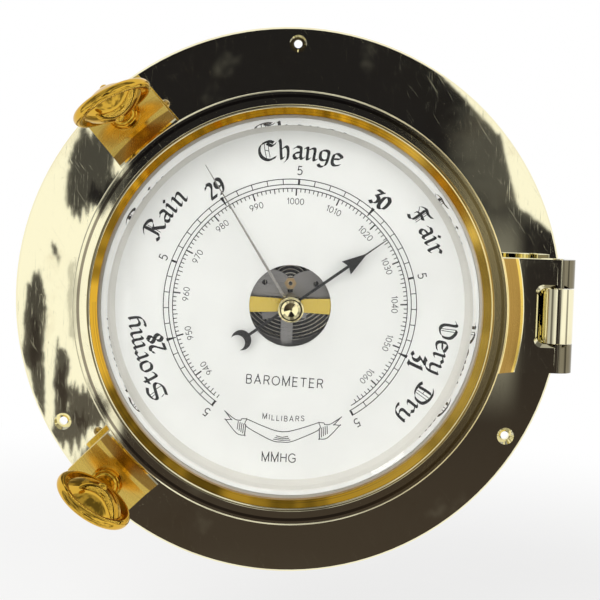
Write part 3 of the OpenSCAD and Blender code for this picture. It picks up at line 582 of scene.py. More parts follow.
@dataclass
class Inkwork:
    """Flat printing on the dial: thin closed strips, gathered into one mesh."""

    bottom: float
    top: float
    parts: list[tuple[np.ndarray, np.ndarray]] = field(default_factory=list)

    def strip(self, left: np.ndarray, right: np.ndarray) -> None:
        """Adds the strip between two lines of the same number of points (n, 2), in millimetres on the dial."""
        a, b = left[1] - left[0], right[0] - left[0]
        self.parts.append((right, left) if a[0] * b[1] - a[1] * b[0] > 0 else (left, right))

    def arc(self, inner: float, outer: float, start: float, end: float) -> None:
        """Adds a band between two radii from one angle to another, in degrees."""
        ray = on_circle(1.0, np.radians(np.linspace(start, end, ARC_STEPS + 1)))
        self.strip(ray * inner, ray * outer)

    def tick(self, angle: float, inner: float, outer: float, width: float, end_width: float | None = None) -> None:
        """Adds a radial mark.

        Args:
            angle: where, in degrees.
            inner: radius of its inner end.
            outer: radius of its outer end.
            width: how wide it is.
            end_width: how wide its outer end is, if that differs.
        """
        a = math.radians(angle)
        along, across = np.array([math.cos(a), math.sin(a)]), np.array([-math.sin(a), math.cos(a)])
        middle = np.stack([along * inner, along * outer])
        half = np.stack([across * (width / 2), across * ((width if end_width is None else end_width) / 2)])
        self.strip(middle + half, middle - half)

    def pen(self, path: np.ndarray, weight: float, nib: tuple[float, float] = (0.0, 0.0)) -> None:
        """Adds the mark of a pen drawn along a path.

        A broad nib is a short straight edge held at one angle, so each point of the path is widened by the nib's own
        half-length either way, and by a little of the path's normal so that no line vanishes.

        Args:
            path: points (n, 2), in millimetres on the dial.
            weight: half of the thinnest line.
            nib: half of the nib's edge, as a vector.
        """
        way = np.gradient(path, axis=0)
        normal = np.stack([-way[:, 1], way[:, 0]], axis=1) / np.maximum(np.hypot(*way.T), 1e-9)[:, None]
        edge = np.array(nib)
        side = np.where(normal @ edge < 0, -1.0, 1.0)[:, None]
        offset = edge + normal * side * weight
        self.strip(path + offset, path - offset)

    def piece(self, name: str) -> None:
        """Makes the gathered strips one object of closed flat solids.

        Each strip has four lines of corners, left and right at its top and its bottom; the faces are the quads
        between neighbouring lines and the two ends.

        Args:
            name: the piece's name.
        """
        points, faces, first = [], [], 0
        for left, right in self.parts:
            n = len(left)
            for line, height in ((left, self.top), (right, self.top), (right, self.bottom), (left, self.bottom)):
                points.append(np.stack([line[:, 0], np.full(n, -height), line[:, 1]], axis=-1) * MM)
            i = np.arange(n - 1)
            rows = [first + k * n for k in range(4)]
            for a, b in zip(rows, rows[1:] + rows[:1]):
                faces += np.stack([a + i, a + i + 1, b + i + 1, b + i], axis=1).tolist()
            faces += [rows, [row + n - 1 for row in rows[::-1]]]
            first += 4 * n
        add_piece(name, np.concatenate(points), faces, INK, Body.CASE)


def curve_through(stroke: np.ndarray, steps: int) -> np.ndarray:
    """Points along a smooth line through a stroke's corners.

    Each stretch is a cubic through its two ends, whose slope at an end is half the way from that end's one neighbour
    to the other; a corner given twice stays sharp.

    Args:
        stroke: corners (n, 2).
        steps: how many points a stretch has.

    Returns:
        The points, or the two corners of a straight stroke.
    """
    p = np.array(stroke, float)
    if len(p) < 3:
        return p
    q = np.concatenate([2 * p[:1] - p[1:2], p, 2 * p[-1:] - p[-2:-1]])
    t = np.linspace(0, 1, steps, endpoint=False)[:, None]
    a, b, c, d = (q[k:len(q) - 3 + k, None, :] for k in range(4))
    cubic = 0.5 * (2 * b + (c - a) * t + (2 * a - 5 * b + 4 * c - d) * t**2 + (3 * b - a - 3 * c + d) * t**3)
    return np.concatenate([cubic.reshape(-1, 2), p[-1:]])


# Printed letters


@dataclass(frozen=True)
class Letter:
    """One letter, in hundredths of the height of the small letters or, if plain, of the capitals.

    A stroke is written as its corners' X and Z in turn, and a comma parts it from the next.
    """

    width: int
    broad: str = ""
    fine: str = ""
    stretch: float = 1.0

    @property
    def advance(self) -> float:
        """The width as a share of the height."""
        return self.width / 100

    def strokes(self, fine: bool = False) -> list[np.ndarray]:
        """Reads the broad or the fine strokes.

        Args:
            fine: whether the hairlines are wanted.

        Returns:
            The corners (n, 2) of each, as shares of the height.
        """
        texts = (self.fine if fine else self.broad).split(",")
        corners = [np.array(text.split(), float).reshape(-1, 2) / 100 for text in texts if text]
        return [stroke * (self.stretch, 1.0) for stroke in corners]


MINIM = "-7 86 4 97 10 84 10 16 16 3 30 16"
OVAL = "50 100 20 90 4 70 0 50 4 30 20 10 50 0 80 10 96 30 100 50 96 70 80 90 50 100"

# The pointed pen hand.
BLACK_LETTERS: dict[str, Letter] = {
    "a": Letter(62, "6 80 20 98 42 90 44 60 44 16 52 3 66 16, 42 56 10 42 8 14 22 2 42 20"),
    "e": Letter(56, "24 100 6 82 6 20 24 0 52 18, 22 100 48 82 42 62 8 48"),
    "g": Letter(62, "28 100 6 84 6 34 22 16 46 30, 24 100 46 86 46 0 34 -30 12 -36 0 -20"),
    "h": Letter(66, "2 150 10 140 10 16 16 3 28 14, 12 74 36 98 48 82 48 30 42 -4 26 -26"),
    "i": Letter(36, f"{MINIM}, 6 136 16 124"),
    "m": Letter(102, f"{MINIM}, 10 74 34 96 46 84 46 16 52 3 60 12, 46 74 70 96 82 84 82 16 88 3 102 16"),
    "n": Letter(68, f"{MINIM}, 10 74 36 96 48 84 48 16 54 3 68 16"),
    "o": Letter(62, "28 100 7 82 7 20 26 0, 28 100 50 82 50 20 26 0"),
    "r": Letter(50, f"{MINIM}, 10 76 30 96 36 98 48 84"),
    "t": Letter(46, "14 128 14 18 22 3 42 18, -6 94 36 98"),
    "y": Letter(64, "-5 86 5 98 10 84 10 24 24 8 48 26, 40 90 46 98 50 84 50 10 36 -28 8 -42 0 -34"),
    "C": Letter(102, "86 136 60 150 20 130 6 80 16 30 50 2 92 20, 50 136 76 112 98 130",
                "38 138 36 80 38 16, 58 130 56 80 58 22, 36 86 58 72"),
    "D": Letter(106, "0 130 24 148 62 144 92 110 90 40 60 4 20 2 -2 20, 28 136 26 70 28 10",
                "50 134 48 14, 64 128 62 18, 28 72 50 72"),
    "F": Letter(94, "34 140 34 20 16 -4 -4 8, 6 130 30 150 60 138 88 150, 12 78 40 86 70 76",
                "56 134 56 14, 46 130 46 20, 0 118 16 90 10 50"),
    "R": Letter(100, "30 144 30 20 14 0 -4 12, -2 126 24 150 62 144 76 116 54 84 32 80, 44 78 66 34 84 3 102 16",
                "46 134 46 10, 38 136 40 90"),
    "S": Letter(92, "84 130 56 150 20 136 14 104 44 84 76 64 80 30 46 2 0 18",
                "34 140 36 94, 46 140 48 90, 56 74 56 12, 6 66 12 30"),
    "V": Letter(102, "-2 128 12 146 20 130 20 36 44 2 82 30 86 100 62 140 42 150",
                "40 144 42 14, 52 140 52 16"),
    " ": Letter(50),
    "0": Letter(66, "28 134 6 106 6 30 26 0, 28 134 54 106 54 30 26 0"),
    "1": Letter(42, "4 114 20 132 20 132 20 4, 2 4 38 4"),
    "2": Letter(66, "6 106 20 132 46 128 50 96 26 50 4 6, 2 5 56 8"),
    "3": Letter(64, "6 128 50 130 50 130 24 82 24 82 50 66 52 30 28 0 2 12"),
    "8": Letter(66, "30 134 8 114 12 88 44 58 52 26 28 0, 30 134 50 112 42 84 12 54 6 22 28 0"),
    "9": Letter(66, "28 58 8 74 8 110 28 134 52 112 52 50 34 8 8 4, 26 58 46 72"),
}

# The plain capitals and figures.
PLAIN_LETTERS: dict[str, Letter] = {
    "0": Letter(58, OVAL, stretch=0.58),
    "1": Letter(30, "4 80 24 100 24 100 24 0"),
    "2": Letter(56, "3 76 12 94 30 100 48 92 53 74 42 48 0 0 0 0 56 0"),
    "3": Letter(54, "5 86 20 99 42 94 49 77 42 60 20 54 20 54 44 48 54 28 44 7 24 0 2 12"),
    "4": Letter(58, "44 0 44 100 44 100 0 28 0 28 58 28"),
    "5": Letter(54, "50 100 13 100 13 100 7 56 7 56 30 62 50 50 54 28 44 7 22 0 1 10"),
    "6": Letter(56, "44 98 20 72 3 36 9 10 28 0 49 9 56 31 48 53 28 61 8 48"),
    "7": Letter(54, "0 100 54 100 54 100 18 0"),
    "8": Letter(56, "28 54 9 64 5 80 13 95 28 100 43 95 51 80 47 64 28 54 8 44 0 26 9 6 28 0 47 6 56 26 48 44 28 54"),
    "9": Letter(56, "12 2 36 28 53 64 47 90 28 100 7 91 0 69 8 47 28 39 48 52"),
    "A": Letter(74, "0 0 37 100 37 100 74 0, 12 33 62 33"),
    "B": Letter(62, "4 0 4 100, 4 100 38 100 53 93 57 76 50 59 38 53 4 53, 38 53 54 46 61 27 54 7 38 0 4 0"),
    "E": Letter(58, "56 100 4 100 4 100 4 0 4 0 58 0, 4 53 50 53"),
    "G": Letter(80, "74 80 62 94 40 100 16 90 3 70 0 50 3 30 16 10 40 0 62 5 77 18 77 18 77 46 77 46 44 46"),
    "H": Letter(70, "4 0 4 100, 66 0 66 100, 4 53 66 53"),
    "I": Letter(8, "4 0 4 100"),
    "L": Letter(52, "4 100 4 0 4 0 52 0"),
    "M": Letter(84, "4 0 4 100 4 100 42 8 42 8 80 100 80 100 80 0"),
    "O": Letter(84, OVAL, stretch=0.84),
    "R": Letter(64, "4 0 4 100, 4 100 40 100 57 92 61 75 54 57 40 50 4 50, 40 50 64 0"),
    "S": Letter(60, "55 82 46 95 30 100 13 95 5 77 14 60 44 46 58 32 58 17 46 4 28 0 10 5 0 20"),
    "T": Letter(68, "0 100 68 100, 34 100 34 0"),
}


@dataclass
class PlainWriting:
    """Plain capitals and figures drawn with a round pen."""

    size: float
    weight: float
    gap: float = 0.24

    def strokes(self, text: str) -> list[np.ndarray]:
        """Lays a text out flat, with the middle of its foot at the origin.

        Args:
            text: letters that PLAIN_LETTERS has.

        Returns:
            One path (n, 2) to a stroke, in millimetres.
        """
        letters = [PLAIN_LETTERS[c] for c in text]
        at = -(sum(letter.advance for letter in letters) + self.gap * (len(text) - 1)) / 2
        paths = []
        for letter in letters:
            paths += [(curve_through(stroke, 4) + (at, 0.0)) * self.size for stroke in letter.strokes()]
            at += letter.advance + self.gap
        return paths

    def round(self, ink: Inkwork, text: str, radius: float, middle: float) -> None:
        """Writes round the dial, the middle of the text's foot at a radius and an angle in degrees."""
        for path in self.strokes(text):
            ink.pen(on_circle(radius + path[:, 1], math.radians(middle) - path[:, 0] / radius), self.weight)

    def along(self, ink: Inkwork, text: str, middle: tuple[float, float], tilt: float, sag: float = 0.0) -> None:
        """Writes on a line.

        Args:
            ink: where the strips go.
            text: letters that PLAIN_LETTERS has.
            middle: X and Z of the middle of its foot, in millimetres.
            tilt: the line's angle in degrees, anticlockwise.
            sag: how much a letter ten millimetres from the middle is lifted.
        """
        cos, sin = math.cos(math.radians(tilt)), math.sin(math.radians(tilt))
        for path in self.strokes(text):
            u = path[:, 0]
            v = path[:, 1] + sag * (u.mean() / 10.0) ** 2
            ink.pen(np.stack([u * cos - v * sin, u * sin + v * cos], axis=1) + middle, self.weight)


@dataclass
class ArcWriting:
    """Words that follow a circle of the dial, their feet towards its centre."""

    radius: float
    size: float
    stretch: float = 1.0
    slant: float = 40.0
    gap: float = 0.08
    hairline: float = 0.13

    def write(self, ink: Inkwork, word: str, middle: float, nib: float, weight: float) -> None:
        """Writes a word with a broad nib.

        A point u along the line and v above it goes to the angle middle - u / radius and the radius + v.

        Args:
            ink: where the strips go.
            word: letters that BLACK_LETTERS has.
            middle: the angle of the word's middle, in degrees.
            nib: the nib's half-length, as a share of the small letters' height.
            weight: half of the thinnest line of a broad stroke, as the same share.
        """
        letters = [BLACK_LETTERS[c] for c in word]
        at = -(sum(letter.advance + self.gap for letter in letters) - self.gap) / 2
        slant = math.radians(self.slant)
        edge = nib * self.size * np.array([math.cos(slant), math.sin(slant)])
        for letter in letters:
            for fine in (False, True):
                for stroke in letter.strokes(fine):
                    path = (curve_through(stroke, 6) + (at, 0.0)) * (self.size * self.stretch, self.size)
                    bent = on_circle(self.radius + path[:, 1], math.radians(middle) - path[:, 0] / self.radius)
                    turn = math.radians(middle) - path[:, 0].mean() / self.radius - math.pi / 2
                    cos, sin = math.cos(turn), math.sin(turn)
                    held = (edge[0] * cos - edge[1] * sin, edge[0] * sin + edge[1] * cos)
                    if fine:
                        ink.pen(bent, self.hairline)
                    else:
                        ink.pen(bent, weight * self.size, held)
            at += letter.advance + self.gap


# Sub-assemblies


@dataclass
class DialPrinting:
    """Everything printed on the dial: the two scales, their numbers, the weather words and the titles.

    Sizes are in millimetres, radii from the dial's middle, angles in degrees. A millibar mark is for multiples of
    its first number and has a length and a width. A weather word has its middle, radius, height and length; a title
    its height, its line, its gap, the middle of its foot, its tilt and its sag. The figures of a whole inch have a
    height, a stretch, a nib and a line.
    """

    face: float = 25.0
    thickness: float = 0.04
    sunk: float = 0.01
    turn: float = 2.0
    inch_outer: float = 50.2
    inch_inner: float = 47.75
    bar_outer: float = 46.55
    line: float = 0.34
    line_overrun: tuple[float, float] = (2.6, 1.0)
    tenth_w: float = 0.32
    half_w: float = 0.8
    wedge_w: tuple[float, float] = (0.3, 1.3)
    wedge_overrun: tuple[float, float] = (1.0, 0.4)
    bar_marks: tuple[tuple[int, float, float], ...] = ((10, 3.0, 0.55), (5, 2.1, 0.33), (1, 1.6, 0.33))
    bar_foot: float = 40.2
    bar_nudge: float = 0.2
    number_foot: float = 51.9
    inch_28: float = 195.4
    inch_step: float = 73.0
    bar_1000: float = 86.9
    bar_step: float = 2.158
    ends: tuple[float, float] = (232.6, -59.6)
    wholes: tuple[int, ...] = (28, 29, 30, 31)
    halves: tuple[float, ...] = (27.5, 28.5, 29.5, 30.5, 31.5)
    weather: tuple[tuple[str, float, float, float, float], ...] = (
        ("Stormy", 199.6, 59.4, 4.4, 7.4),
        ("Rain", 143.4, 58.2, 4.8, 7.1),
        ("Change", 86.0, 58.0, 4.9, 6.96),
        ("Fair", 28.4, 58.8, 4.7, 7.1),
        ("Very Dry", -26.0, 59.9, 4.6, 7.1),
    )
    word_nib: float = 0.52
    word_line: float = 0.03
    figures: tuple[float, float, float, float] = (4.4, 1.15, 0.13, 0.045)
    titles: tuple[tuple[str, float, float, float, tuple[float, float], float, float], ...] = (
        ("BAROMETER", 3.45, 0.19, 0.33, (-1.2, -31.7), -2.0, 0.0),
        ("MILLIBARS", 2.0, 0.13, 0.45, (-1.1, -45.8), -1.6, 0.9),
        ("MMHG", 3.4, 0.19, 0.25, (-2.4, -62.1), -0.6, 0.0),
    )
    ribbon_middle: tuple[float, float] = (-1.3, -49.6)
    ribbon_tilt: float = -1.0
    ribbon_line: float = 0.16

    def inch_angle(self, inches: float) -> float:
        """Angle of a pressure in inches, as the dial is mounted."""
        return self.inch_28 + self.turn - (inches - 28.0) * self.inch_step

    def bar_angle(self, millibars: float) -> float:
        """Angle of a pressure in millibars, as the dial is mounted."""
        return self.bar_1000 + self.turn - (millibars - 1000.0) * self.bar_step

    def inkwork(self) -> Inkwork:
        """An empty sheet of ink at the dial's face."""
        return Inkwork(self.face - self.sunk, self.face + self.thickness)

    def scales(self) -> None:
        """Draws the inch band with its tenths, wedges and halves, and the millibar circle with its marks."""
        ink = self.inkwork()
        start, end = (a + self.turn for a in self.ends)
        ink.arc(self.inch_outer - self.line, self.inch_outer, start, end)
        ink.arc(self.inch_inner, self.inch_inner + self.line, start, end)
        before, after = self.line_overrun
        ink.arc(self.bar_outer - self.line, self.bar_outer, start - before, end + after)
        for tenth in range(-5, 36):
            ink.tick(self.inch_angle(28.0 + tenth / 10), self.inch_inner, self.inch_outer, self.tenth_w)
        within, beyond = self.wedge_overrun
        for inches in self.wholes:
            ink.tick(self.inch_angle(inches), self.inch_inner - within, self.inch_outer + beyond, *self.wedge_w)
        for inches in self.halves:
            ink.tick(self.inch_angle(inches), self.inch_inner, self.inch_outer, self.half_w)
        for bar in range(933, 1067):
            deep, width = next((deep, width) for every, deep, width in self.bar_marks if bar % every == 0)
            ink.tick(self.bar_angle(bar), self.bar_outer - deep, self.bar_outer, width)
        ink.piece("dial_scales")

    def numbers(self) -> None:
        """Sets the millibar numbers, the half-inch fives and the titles in plain letters."""
        ink = self.inkwork()
        pen = PlainWriting(size=2.3, weight=0.13)
        for bar in range(940, 1070, 10):
            pen.round(ink, str(bar), self.bar_foot, self.bar_angle(bar) + self.bar_nudge)
        pen = PlainWriting(size=3.2, weight=0.2)
        for inches in self.halves:
            pen.round(ink, "5", self.number_foot, self.inch_angle(inches))
        ink.piece("dial_numbers")
        ink = self.inkwork()
        for text, size, weight, gap, middle, tilt, sag in self.titles:
            PlainWriting(size, weight, gap).along(ink, text, middle, tilt, sag)
        ink.piece("dial_titles")

    def words(self) -> None:
        """Writes the weather words and the inch numbers with a broad nib."""
        ink = self.inkwork()
        for word, middle, radius, size, length in self.weather:
            writing = ArcWriting(radius, size, length / size)
            writing.write(ink, word, middle + self.turn, self.word_nib / size, self.word_line)
        ink.piece("weather_words")
        ink = self.inkwork()
        size, stretch, nib, line = self.figures
        for inches in self.wholes:
            ArcWriting(self.number_foot, size, stretch).write(ink, str(inches), self.inch_angle(inches), nib, line)
        ink.piece("inch_numbers")

    def ribbon(self) -> None:
        """Draws the empty ribbon under the unit's name, one half the mirror of the other.

        The outline is given in millimetres from the middle of the ribbon: the band sags to the middle, folds back at
        each end and runs out in a forked tail.
        """
        ink = self.inkwork()
        outline = [
            [(0.0, -0.5), (-3.0, -0.1), (-8.0, 1.5), (-14.2, 3.9), (-14.2, 3.9), (-16.2, 3.9), (-16.6, 3.2)],
            [(0.0, -4.6), (-3.2, -4.4), (-8.0, -2.4), (-14.6, 1.2), (-14.2, 3.9), (-14.2, 3.9)],
            [(-16.6, 3.2), (-19.0, 3.6), (-22.9, 6.4), (-22.9, 6.4), (-20.4, 3.4), (-20.4, 3.4), (-22.6, 3.2),
             (-22.6, 3.2), (-18.0, -2.0), (-14.8, -2.6), (-14.8, -2.6), (-14.6, 1.2)],
        ]
        outline += [[(-17.6 + 0.75 * k, 2.9 - 0.3 * k), (-17.9 + 0.75 * k, -0.4 - 0.5 * k)] for k in range(5)]
        outline += [[(0.0, -3.9 + 0.6 * k), (-3.4 + 0.5 * k, -3.6 + 0.7 * k)] for k in range(3)]
        tilt = math.radians(self.ribbon_tilt)
        turn = np.array([[math.cos(tilt), math.sin(tilt)], [-math.sin(tilt), math.cos(tilt)]])
        for stroke in outline:
            for side in (1.0, -1.0):
                path = curve_through(stroke, 4) * (side, 1.0) @ turn + self.ribbon_middle
                ink.pen(path, self.ribbon_line)
        ink.piece("dial_ribbon")

    def build(self) -> None:
        """Makes every printed piece."""
        self.scales()
        self.numbers()
        self.words()
        self.ribbon()


# Stage


@dataclass(frozen=True)
class Studio:
    """Camera, soft light and surroundings.

    A card's colour is above 1 to make up for what brass takes. A dark shape is its middle, its half-width and
    half-height, its lean and its depth, in millimetres on the flange.
    """

    eye: tuple[float, float, float] = (-0.01024, -0.554, 0.043)
    aim: tuple[float, float, float] = (-0.00284, 0.0, 0.0215)
    lens: float = 80.283
    roll: float = 2.044
    shift: tuple[float, float] = (0.02666, -0.08566)
    level: float = 0.5
    through_glass: float = 2.0
    inside: float = 0.9
    lamp_power: float = 7.5
    lamp_size: float = 0.7
    lamp_place: tuple[float, float, float] = (-0.45, -0.75, 0.6)
    lamp_turn: tuple[float, float, float] = (52.0, 0.0, -31.0)
    floor_drop: float = 0.04
    floor_size: float = 3.0
    card: Colour = (1.06, 1.07, 1.07)
    dusk_high: Colour = (0.015, 0.0145, 0.018)
    dusk_low: Colour = (0.055, 0.044, 0.04)
    sides: tuple[float, float, float, float] = (1.05, 0.5, 0.5, 0.92)
    shapes: tuple[tuple[float, float, float, float, float, float], ...] = (
        (-84.0, 51.0, 9.5, 19.0, 0.12, 0.95),
        (-72.0, 44.0, 9.0, 9.0, 0.9, 0.95),
        (-97.2, 17.0, 1.0, 4.6, -0.25, 0.95),
        (-105.2, -13.0, 4.6, 21.0, 0.03, 0.96),
        (-103.2, -31.0, 2.7, 21.0, -0.1, 0.95),
        (-89.5, -3.0, 2.2, 17.0, -0.05, 0.4),
        (-93.0, -34.0, 3.2, 12.0, -0.1, 0.95),
        (-93.2, -44.0, 2.8, 12.0, 0.02, 0.95),
        (-82.0, -47.0, 8.5, 9.0, -0.35, 0.94),
        (-89.0, -57.0, 8.0, 8.0, 0.2, 0.93),
        (-70.0, -80.0, 18.0, 20.0, 0.0, 0.9),
    )

    def camera(self) -> None:
        """Puts the camera in front of the dial, a little above and left of its middle, as the photograph's was."""
        data = bpy.data.cameras.new("camera")
        data.lens, data.sensor_width = self.lens, 36.0
        data.shift_x, data.shift_y = self.shift
        data.clip_start, data.clip_end = 0.01, 20.0
        camera = bpy.data.objects.new("camera", data)
        camera.location = self.eye
        camera.rotation_euler = (Vector(self.aim) - Vector(self.eye)).to_track_quat("-Z", "Y").to_euler()
        camera.rotation_euler.rotate_axis("Z", math.radians(self.roll))
        bpy.context.scene.collection.objects.link(camera)
        bpy.context.scene.camera = camera

    def world(self) -> None:
        """Lights the object from a white room and shows polished metal what stands round the camera.

        A direction is named by the point of the flange that mirrors it to the camera, in millimetres, so a card and
        the dark shapes that stand before it are placed where the flange shows them.
        """
        world = bpy.data.worlds.new("room")
        bpy.context.scene.world = world
        world.use_nodes = True
        graph = Graph(world.node_tree)
        way = graph.add("ShaderNodeTexCoord", out="Generated")
        across, out, up = graph.parts(way)
        toward = (out * -1.0).most(0.02)
        reach = -self.eye[1] / MM
        x = across / toward * reach + self.eye[0] / MM
        z = up / toward * reach + self.eye[2] / MM
        wide = (x * x + z * z).math("SQRT")
        card = self.cards(graph, x, z) * wide.step(170.0, 145.0)
        front = graph.mix(card, graph.mix(z.step(-110.0, 60.0), self.dusk_low, self.dusk_high), self.card)
        front = graph.mix(self.around(graph, way, x, z, wide), front, self.card)
        seen = graph.mix(out.step(-0.04, 0.03), front, WHITE)
        fresh = graph.path("Diffuse Depth").math("LESS_THAN", 0.5)
        passed = graph.path("Is Transmission Ray")
        mirrored = graph.path("Is Glossy Ray") * (1.0 - passed)
        behind_glass = passed * graph.path("Glossy Depth").math("GREATER_THAN", 0.5)
        plain, shine, inside, lit = (
            graph.add("ShaderNodeBackground", {"Color": colour, "Strength": strength})
            for colour, strength in ((WHITE, 1.0), (seen, 1.0), (WHITE, self.inside), (
                (1.0, 0.99, 0.97), passed * (self.through_glass - self.level) + self.level)))
        whole = graph.blend(behind_glass, graph.blend(mirrored, plain, shine), inside)
        graph.end("ShaderNodeOutputWorld", graph.blend(fresh, lit, whole))

    def around(self, graph: Graph, way: Value, x: Value, z: Value, wide: Value) -> Value:
        """The white room beyond what the flat metal mirrors, seen only by slopes, edges and round pieces.

        Args:
            graph: the world's tree.
            way: the direction.
            x: where the flange mirrors the direction, in millimetres to the right.
            z: the same, upwards.
            wide: how far that point is from the middle.

        Returns:
            How much of the room's white is seen, from 0 to 1.
        """
        across, _, up = graph.parts(way)
        corner = x.step(20.0, 160.0) * z.step(30.0, -120.0)
        gap = x.step(115.0, 130.0) * x.step(900.0, 700.0) * abs(z).step(420.0, 260.0)
        room = wide.step(128.0, 150.0) * (0.85 - corner * 0.75) * (1.0 - gap * 0.93)
        for value, sign, white in zip((across, across, up, up), (1.0, -1.0, 1.0, -1.0), self.sides):
            side = value.step(0.25 * sign, 0.5 * sign)
            room = side * (white - room) + room
        clutter = graph.noise(way, 3.2, 2.0).step(0.4, 0.56)
        return room * (clutter * 0.75 + 0.25)

    def cards(self, graph: Graph, x: Value, z: Value) -> Value:
        """White cards left and right of the camera, with the dark shapes before them.

        Args:
            graph: the world's tree.
            x: where the flange mirrors the direction, in millimetres to the right.
            z: the same, upwards.

        Returns:
            1 where a card is seen and 0 where it is dark.
        """
        comb = graph.noise(graph.vector(x * 0.45, 0.0, z * 0.035), 1.0, 3.0, 0.65) - 0.5
        place = graph.vector(x, 0.0, z)
        drift = graph.noise(place, 0.09, 3.0, 0.6) - 0.5
        ragged_x, ragged_z = drift * 5.0 + x, comb * 30.0 + z
        left = (abs(z + 8.0) * 0.06 + ragged_x).step(-64.0, -67.0)
        for middle_x, middle_z, half_w, half_h, lean, depth in self.shapes:
            dz = ragged_z - middle_z
            dx = ragged_x - middle_x - dz * lean
            far = (dx / half_w).math("POWER", 2.0) + (dz / half_h).math("POWER", 2.0)
            left = left * (1.0 - far.step(1.12, 0.9) * depth)
        right = self.right_card(drift * 2.5 + x, comb * 3.0 + z)
        far = ((x - 92.0) / 30.0).math("POWER", 2.0) + ((z - 62.0) / 28.0).math("POWER", 2.0)
        haze = (drift * 1.6 + far).step(1.4, 0.1) * 0.07
        inner = x.step(99.0, 90.0) * abs(z).step(50.0, 20.0) * x.step(70.0, 78.0) * 0.17
        wisp = graph.noise(place, 0.022, 4.0, 0.65).step(0.58, 0.78) * 0.1
        return left.most(right).most(inner.most(haze)).most(wisp)

    def right_card(self, x: Value, z: Value) -> Value:
        """The card on the right, whose edge runs down the flange, bends outwards and leaves it above the hinge.

        Above a level the card is what lies beyond a slanting line near the flange's edge; below it, what lies beyond
        both a steep line and a flat one.

        Args:
            x: where the flange mirrors the direction, in millimetres to the right.
            z: the same, upwards.

        Returns:
            1 on the card and 0 beside it.
        """
        steep = (x + z * 0.3).step(105.8, 107.2)
        flat = (z + x * 0.7).step(107.0, 109.0)
        slant = (x * 0.7 + z * 0.72).step(110.2, 111.2)
        return (steep * flat * z.step(77.0, 73.0)).most(slant * z.step(71.0, 73.0))

    def lamps(self) -> None:
        """Hangs one large soft lamp up and to the left, out of the reflections."""
        data = bpy.data.lights.new("soft_box", "AREA")
        data.size, data.energy = self.lamp_size, self.lamp_power
        lamp = bpy.data.objects.new("soft_box", data)
        lamp.location = self.lamp_place
        lamp.rotation_euler = [math.radians(angle) for angle in self.lamp_turn]
        lamp.visible_glossy = lamp.visible_camera = False
        bpy.context.scene.collection.objects.link(lamp)

    def floor(self) -> None:
        """Lays a plain pale floor below the object. It keeps the object's shadow and turns white farther off."""
        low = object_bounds()[0][2] - self.floor_drop
        corners = ((-1, -1), (1, -1), (1, 1), (-1, 1))
        mesh = bpy.data.meshes.new("floor")
        mesh.from_pydata([(x * self.floor_size, y * self.floor_size, low) for x, y in corners], [], [(0, 1, 2, 3)])
        floor = bpy.data.objects.new("floor", mesh)
        bpy.context.scene.collection.objects.link(floor)
        material = bpy.data.materials.new("floor_paper")
        material.use_nodes = True
        graph = Graph(material.node_tree)
        colour = graph.mix(graph.noise(graph.here(), 40.0), (0.86, 0.86, 0.86), (0.9, 0.9, 0.9))
        paper = graph.principled(colour, 0.9)
        glow = graph.add("ShaderNodeEmission", {"Color": WHITE, "Strength": 1.0})
        far = graph.add("ShaderNodeVectorMath", {0: graph.here()}, "Value", operation="LENGTH").step(0.25, 0.6)
        seen = graph.path("Is Camera Ray").most(graph.path("Is Transmission Ray")) * (far * 0.3 + 0.7)
        graph.end("ShaderNodeOutputMaterial", graph.blend(seen, paper, glow))
        mesh.materials.append(material)
        floor.visible_glossy = False
        floor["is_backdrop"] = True

    def build(self) -> None:
        """Sets up the whole stage."""
        bpy.context.scene.view_settings.view_transform = "Standard"
        self.camera()
        self.world()
        self.lamps()
        self.floor()


@dataclass
class Assembly:
    """A sub-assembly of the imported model: the finish of each of its nodes."""

    finishes: dict[str, Finish]

    def dress(self) -> None:
        """Gives every node its finish."""
        for name, finish in self.finishes.items():
            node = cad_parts[name]
            node.data.materials.clear()
            node.data.materials.append(finish.material())
            log.info("%s: %s", name, finish.name)

    def build(self) -> None:
        """Dresses the nodes; a sub-assembly with finer surfaces of its own makes them here too."""
        self.dress()


